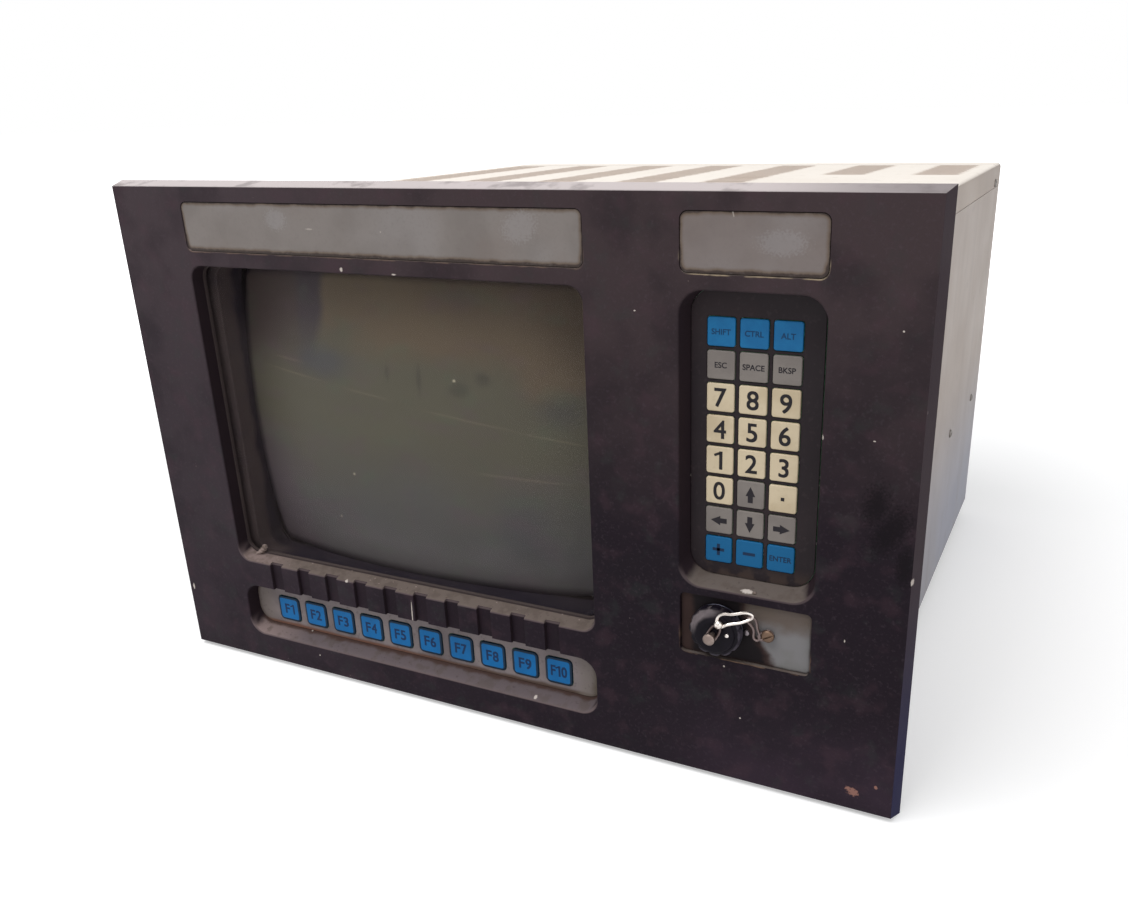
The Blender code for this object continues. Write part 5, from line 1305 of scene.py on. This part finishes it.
def make_chain(socket, screw, plate_front, lit_wire, shaded_wire):
    """Lug on the pin and a long link, the long link and its knot painted bright as lit, the lug, a second
    link and an eye under the screw painted dull as shaded.
    """
    gauge = 0.0008
    high = -0.0079
    low = plate_front - 0.0011
    reach_x = screw.x - socket.x
    reach_z = 0.01715

    def spot(across, up, out):
        return at(socket.x + reach_x * across, low + (high - low) * out, socket.z + reach_z * up)

    def eye(x, depth, z, radius, tip):
        start = math.atan2(tip.z - z, tip.x - x) + math.pi / 2
        turns = [start + math.pi * i / 6 for i in range(7)]
        return [at(x + radius * math.cos(turn), depth, z + radius * math.sin(turn)) for turn in turns] + [tip]

    lug = wire(eye(socket.x, high, socket.z, 0.0025, spot(0.12, 0.34, 1.0)), gauge * 0.85)
    knot = ball(0.0024, spot(0.13, 0.40, 1.0))
    link = wire([
        spot(0.10, 0.34, 1.0), spot(0.32, 0.47, 1.02), spot(0.66, 0.60, 0.50), spot(0.73, 0.72, 0.44),
        spot(0.68, 0.80, 0.48), spot(0.38, 0.78, 0.86), spot(0.16, 0.72, 1.0), spot(0.09, 0.50, 1.04),
    ], gauge)
    add(add(link, lug, 1), knot)
    piece("chain_link", link, [lit_wire, shaded_wire], nodes=["cap_chain"], weighted=False)
    tail = wire([
        spot(0.65, 0.66, 0.47), spot(0.72, 0.68, 0.42), spot(0.80, 0.25, 0.12), spot(0.82, -0.12, 0.0),
        spot(0.76, -0.16, 0.0), spot(0.72, 0.22, 0.12),
    ], gauge * 0.95)
    add(tail, wire(eye(screw.x, low, screw.z, 0.0023, spot(0.82, -0.06, 0.0)), gauge))
    piece("chain_eye", tail, shaded_wire, weighted=False)


def make_chain_screw(screw, brass):
    low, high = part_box("chain_screw")
    front, back = low.y - FRONT, high.y - FRONT
    radius, head = 0.0034, 0.0020
    shank = 0.0012
    profile = dome(radius, front, head * 0.8)
    profile += [(radius, front + head), (shank, front + head), (shank, back), (0, back)]
    slit = block((0.009, 0.0020, 0.0009), -28, at(screw.x, front, screw.z))
    bm = carved(turned(profile, screw.x, screw.z, 48), slit)
    piece("brass_screw", bm, brass, nodes=["chain_screw"])


# The case, its screws and the rear

def pan_screw(point, direction, radius, rise):
    """Cross-recessed pan head, its seat at point and its top towards direction."""
    profile = dome(radius, -rise, rise * 0.75) + [(radius, 0.0), (0, 0.0)]
    bm = spun([(r, d, 0) for r, d in profile], (0, 0, 0), 24)
    arm = (radius * 1.15, rise * 1.3, radius * 0.26)
    bm = carved(bm, *[block(arm, turn, (0, -rise, 0)) for turn in (18, 108)])
    turn = Vector((0, -1, 0)).rotation_difference(Vector(direction)).to_matrix()
    bmesh.ops.rotate(bm, matrix=turn, verts=bm.verts)
    bmesh.ops.translate(bm, vec=point, verts=bm.verts)
    return bm


def make_case(steel):
    dressed("case_shell", "case", case_paint(), 0.0004)
    dressed("cover_lid", "top_cover", cover_paint(), 0.00035)
    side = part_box("case")[1].x
    screws = bmesh.new()
    for depth, z in ((0.4167, 0.2817), (0.4040, 0.1162), (0.2917, 0.1186), (0.0650, 0.2817)):
        for sign in (-1, 1):
            add(screws, pan_screw(at(sign * side, depth, z), (sign, 0, 0), 0.0030, 0.0015))
    piece("case_screws", screws, steel, weighted=False)


def make_rear(zinc, steel, moulding, contact, white, green):
    dressed("rear_sheet", "rear_panel", zinc, 0.0003)
    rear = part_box("rear_panel")
    back = rear[1].y - FRONT
    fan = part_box("fan_frame")
    screws = bmesh.new()
    inset, edge = 0.0045, 0.012
    for places, heights, radius, rise in (
        ((fan[0].x + inset, fan[1].x - inset), (fan[0].z + inset, fan[1].z - inset), 0.0032, 0.0018),
        ((rear[0].x + edge, 0.0, rear[1].x - edge), (rear[0].z + 0.150, rear[1].z - edge), 0.0030, 0.0016),
    ):
        for x in places:
            for z in heights:
                add(screws, pan_screw(at(x, back, z), (0, 1, 0), radius, rise))
    piece("rear_screws", screws, steel, weighted=False)

    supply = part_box("power_supply")
    middle = entry_middle()
    half_width, half_height, deep = 0.0281, 0.0151, 0.0262

    def supply_sort(face):
        spot = face.calc_center_median()
        beside = abs(spot.x - middle.x) > half_width or abs(spot.z - middle.z) > half_height
        return 0 if beside or spot.y < supply[1].y - deep else 1

    dressed("supply_box", "power_supply", [zinc, moulding], 0.0003, sort=supply_sort)
    make_inlet_pins(supply, contact)
    make_switch(moulding, white)
    dressed("fan_housing", "fan_frame", moulding, 0.0004)
    dressed("fan_wheel", "fan_rotor", moulding, 0.0003)
    make_boards(green, moulding, contact, steel)


def entry_middle():
    """Middle of the power entry, which holds the inlet and the switch."""
    low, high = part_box("power_switch")
    return (low + high) / 2 - Vector((0.0165, 0, 0))


def make_inlet_pins(supply, contact):
    """Blade pins over the plain ones of the inlet."""
    z = entry_middle().z
    inlet_x = entry_middle().x - 0.0105
    end = supply[1].y - FRONT
    pins = []
    for side, rise in ((-1, -1), (0, 2), (1, -1)):
        area = Area(inlet_x + 0.0070 * side, z + 0.0012 * rise, 0.0030, 0.0064, 0.0006)
        pins.append((area, end - 0.0160, end - 0.0022))
    bm = soften(slabs(pins, 3), 0.0003)
    piece("inlet_blades", bm, contact)


def make_switch(moulding, white):
    """Rocker with its two plain marks for on and off."""
    bm = soften(shape_of("power_switch"), 0.0004, 3)
    low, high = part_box("power_switch")
    x = (low.x + high.x) / 2
    faces = [f for f in bm.faces if f.normal.y > 0.8 and f.calc_area() > 0.00004]
    for face in sorted(faces, key=lambda f: f.calc_center_median().z)[::len(faces) - 1]:
        spot = face.calc_center_median()
        upper = spot.z > (low.z + high.z) / 2
        if upper:
            mark = slab(Area(0, 0, 0.0011, 0.0052, 0), 0, 0.0002)
        else:
            ring = [at(0.0026, 0, 0), at(0.0026, 0.0002, 0), at(0.0018, 0.0002, 0), at(0.0018, 0, 0)]
            mark = spun(ring, at(0, 0, 0), 32, ring=True)
        bmesh.ops.translate(mark, vec=(0, -FRONT - 0.0001, 0), verts=mark.verts)
        turn = Vector((0, 1, 0)).rotation_difference(face.normal).to_matrix()
        bmesh.ops.rotate(mark, matrix=turn, verts=mark.verts)
        bmesh.ops.translate(mark, vec=(x, spot.y, spot.z), verts=mark.verts)
        add(bm, mark, 1)
    piece("switch_rocker", bm, [moulding, white], BODY_OF["power_switch"], ["power_switch"])


def make_boards(green, moulding, contact, steel):
    """Circuit boards with their parts in other colours, and the two data ports."""
    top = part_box("processor_board")[0].z + 0.0016
    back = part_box("rear_panel")[1].y

    def main_sort(face):
        centre = face.calc_center_median()
        if centre.y > back - 0.0080:
            return 2
        return 1 if centre.z > top + 0.0002 else 0

    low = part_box("deflection_board")[0]

    def side_sort(face):
        return 1 if face.calc_center_median().x > low.x + 0.0018 else 0

    dressed("main_board", "processor_board", [green, moulding, contact], 0.0002, 1, main_sort)
    dressed("scan_board", "deflection_board", [green, moulding], 0.0003, 1, side_sort)
    for node, name in (("function_key_board", "key_row_board"), ("keypad_board", "pad_board")):
        dressed(name, node, green, 0.0001, 1)
    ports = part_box("processor_board")
    reach = ports[1].y - FRONT
    z = top + 0.0054
    pitch, nut_radius = 0.00276, 0.0027
    inserts = bmesh.new()
    nuts = bmesh.new()
    for start in (0.0528, 0.1248):
        x = ports[0].x + start
        add(inserts, soften(slab(Area(x, z, 0.0350, 0.0062, 0.0012), reach - 0.0004, reach), 0.0001))
        for row, count in ((0.0014, 13), (-0.0014, 12)):
            for i in range(count):
                hole = Area(x + pitch * (i - (count - 1) / 2), z + row, 0.0009, 0.0009, 0.0003)
                add(inserts, slab(hole, reach - 0.0001, reach + 0.0001, 3), 1)
        for sign in (-1, 1):
            nut = bmesh.new()
            bmesh.ops.create_cone(
                nut, cap_ends=True, segments=6, radius1=nut_radius, radius2=nut_radius, depth=0.004)
            settle(nut, nut.verts, (1, 1, 1), 90, "X", at(x + sign * 0.0235, back - FRONT + 0.002, z))
            add(nuts, soften(nut, 0.0002))
    piece("port_inserts", inserts, [moulding, contact])
    piece("port_nuts", nuts, steel)


# Loose dirt

def make_dirt():
    """A crumb in the screen pocket's corner and small flakes on the shelves."""
    random.seed(7)
    finish = Finish("dirt_flakes", (142, 126, 120), 0.8, specular=0.2)
    finish.paint(finish.spots(300, 3, 0.4, 0.65), (100, 88, 80))
    bm = bmesh.new()
    shelf = SCREEN.z - SCREEN.height / 2
    crumbs = [
        (-0.1717, 0.0082, shelf + 0.0078, 0.0021), (-0.1731, 0.0080, shelf + 0.0058, 0.0023),
        (-0.1745, 0.0078, shelf + 0.0042, 0.0022), (-0.1761, 0.0076, shelf + 0.0032, 0.0018),
        (-0.1772, 0.0070, shelf + 0.0028, 0.0015),
    ]
    for i in range(26):
        depth = random.uniform(0.0020, 0.0095)
        crumbs.append((
            random.uniform(-0.175, 0.062), depth, shelf + SCREEN.ledge * depth / PANEL_THICK + 0.0001,
            random.uniform(0.0003, 0.0007)))
    foot = PAD.z - PAD.height / 2
    crumbs.append((0.1630, 0.0020, foot + 0.0010, 0.0012))
    for x, depth, z, size in crumbs:
        made = bmesh.ops.create_icosphere(bm, subdivisions=2, radius=1.0)["verts"]
        for vert in made:
            vert.co *= 1 + random.uniform(-0.28, 0.22)
        bmesh.ops.scale(bm, vec=(size, size * 0.8, size * 0.6), verts=made)
        bmesh.ops.translate(bm, vec=at(x, depth, z), verts=made)
    piece("dirt_crumbs", bm, finish.material, weighted=False, angle=60)


# Stage: floor, light and camera

def make_stage():
    """White floor that keeps the shadow, white surroundings and soft light from above."""
    bm = bmesh.new()
    bmesh.ops.create_grid(bm, x_segments=1, y_segments=1, size=40)
    floor = mesh_of("floor", bm)
    ground = linked("floor", floor)
    finish = Finish("floor_paper", (222, 222, 222), 0.9, specular=0.0)
    away = finish.vector("LENGTH", finish.vector("MULTIPLY", finish.place, (1, 1, 0)))
    glow = finish.maths("MULTIPLY_ADD", finish.fade(away, 0.45, 1.6), 0.75, 0.40)
    finish.shader.inputs["Emission Color"].default_value = (1, 1, 1, 1)
    finish.feed(finish.shader.inputs["Emission Strength"], finish.maths("MULTIPLY", seen_rays(finish), glow))
    floor.materials.append(finish.material)

    world = bpy.data.worlds.new("studio")
    bpy.context.scene.world = world
    world.use_nodes = True
    tree = world.node_tree
    ambient = tree.nodes["Background"]
    ambient.inputs["Color"].default_value = (0.97, 0.98, 1.0, 1)
    ambient.inputs["Strength"].default_value = 0.50
    white = tree.nodes.new("ShaderNodeBackground")
    white.inputs["Color"].default_value = (1, 1, 1, 1)
    rays = tree.nodes.new("ShaderNodeLightPath")
    choose = tree.nodes.new("ShaderNodeMixShader")
    seen = rays.outputs["Is Camera Ray"]
    for name in ("Is Glossy Ray", "Is Transmission Ray"):
        both = tree.nodes.new("ShaderNodeMath")
        both.use_clamp = True
        tree.links.new(seen, both.inputs[0])
        tree.links.new(rays.outputs[name], both.inputs[1])
        seen = both.outputs[0]
    tree.links.new(seen, choose.inputs["Fac"])
    tree.links.new(ambient.outputs[0], choose.inputs[1])
    tree.links.new(white.outputs[0], choose.inputs[2])
    tree.links.new(choose.outputs[0], tree.nodes["World Output"].inputs["Surface"])

    for name, point, size, power in (
        ("key_light", (-0.5, -1.0, 2.3), 1.6, 43.5), ("fill_light", (1.8, -1.2, 0.9), 1.6, 8),
    ):
        light = bpy.data.lights.new(name, "AREA")
        light.size = size
        light.energy = power
        lamp = linked(name, light)
        lamp.location = point
        aim = Vector((0, 0, 0.15)) - Vector(point)
        lamp.rotation_euler = aim.to_track_quat("-Z", "Y").to_euler()


def seen_rays(finish):
    """1 for what the camera sees, also in metal and through glass."""
    rays = finish.tree.nodes.new("ShaderNodeLightPath")
    seen = finish.maths("ADD", rays.outputs["Is Camera Ray"], rays.outputs["Is Glossy Ray"], clamp=True)
    return finish.maths("ADD", seen, rays.outputs["Is Transmission Ray"], clamp=True)


def make_camera():
    data = bpy.data.cameras.new("camera")
    data.sensor_width = 36
    data.lens = 32.147
    data.shift_x = -0.0426
    data.shift_y = 0.0424
    data.clip_start = 0.01
    camera = linked("camera", data)
    camera.location = (0.300096, -0.649538, 0.342341)
    camera.rotation_euler = Euler([math.radians(turn) for turn in (68.7796, 1.5323, 25.6520)])
    bpy.context.scene.camera = camera


bpy.context.scene.view_settings.view_transform = "Standard"
make_camera()
make_stage()
black_moulding = plain_moulding("black_moulding", (27, 24, 27), (58, 50, 48), 0.6)
cap_metal = worn_metal("cap_metal", (44, 44, 52), (92, 90, 96), 0.30, share=0.4)
steel = worn_metal("screw_steel", (120, 116, 112), (84, 74, 66), 0.36)
make_panel()
make_studs(steel)
make_labels()
make_screen()
make_keys(
    {
        "function_blue": key_foil("function_blue", (12, 105, 168), (10, 90, 146)),
        "key_blue": key_foil("key_blue", (26, 106, 156), (20, 88, 138), lowest=(14, 90, 136)),
        "key_grey": key_foil("key_grey", (126, 119, 114), (112, 105, 101)),
        "key_cream": key_foil("key_cream", (204, 188, 160), (182, 164, 134)),
    },
    key_foil("key_outline", (20, 44, 64), (16, 34, 50)),
    {
        "function_blue": key_foil("print_blue", (12, 46, 86), (12, 40, 76)),
        "key_blue": key_foil("print_navy", (16, 40, 70), (14, 34, 60)),
        "faint": key_foil("print_faint", (18, 56, 92), (16, 50, 84)),
        "key_grey": key_foil("print_dark", (28, 24, 30), (40, 36, 40)),
        "key_cream": key_foil("print_black", (24, 21, 26), (34, 30, 34)),
    },
)
make_overlays(pad_foil())
make_connector(
    cap_metal,
    worn_metal("contact_gold", (176, 146, 84), (120, 100, 64), 0.3),
    worn_metal("pin_metal", (142, 128, 122), (112, 98, 92), 0.44),
    # One wire metal twice: a copy painted bright as lit and a copy painted dull as shaded.
    worn_metal("bright_wire", (222, 214, 208), (176, 166, 160), 0.20),
    worn_metal("wire_painted_shaded", (120, 106, 104), (84, 72, 70), 0.36),
    worn_metal("brass", (110, 90, 76), (80, 62, 54), 0.46),
    worn_metal("rivet_metal", (128, 120, 124), (86, 78, 82), 0.34),
)
make_case(steel)
make_rear(
    zinc_sheet(), steel, black_moulding,
    worn_metal("contact_tin", (176, 174, 168), (130, 128, 124), 0.3),
    key_foil("print_white", (220, 218, 212), (190, 188, 180)),
    board_mask(),
)
make_dirt()
for plain, material in (
    ("panel_seal", plain_moulding("seal_rubber", (26, 25, 26), (58, 54, 52), 0.75)),
    ("deflection_yoke", worn_metal("coil_copper", (164, 88, 48), (110, 58, 34), 0.35)),
):
    frame["nodes"][plain].data.materials.clear()
    frame["nodes"][plain].data.materials.append(material)
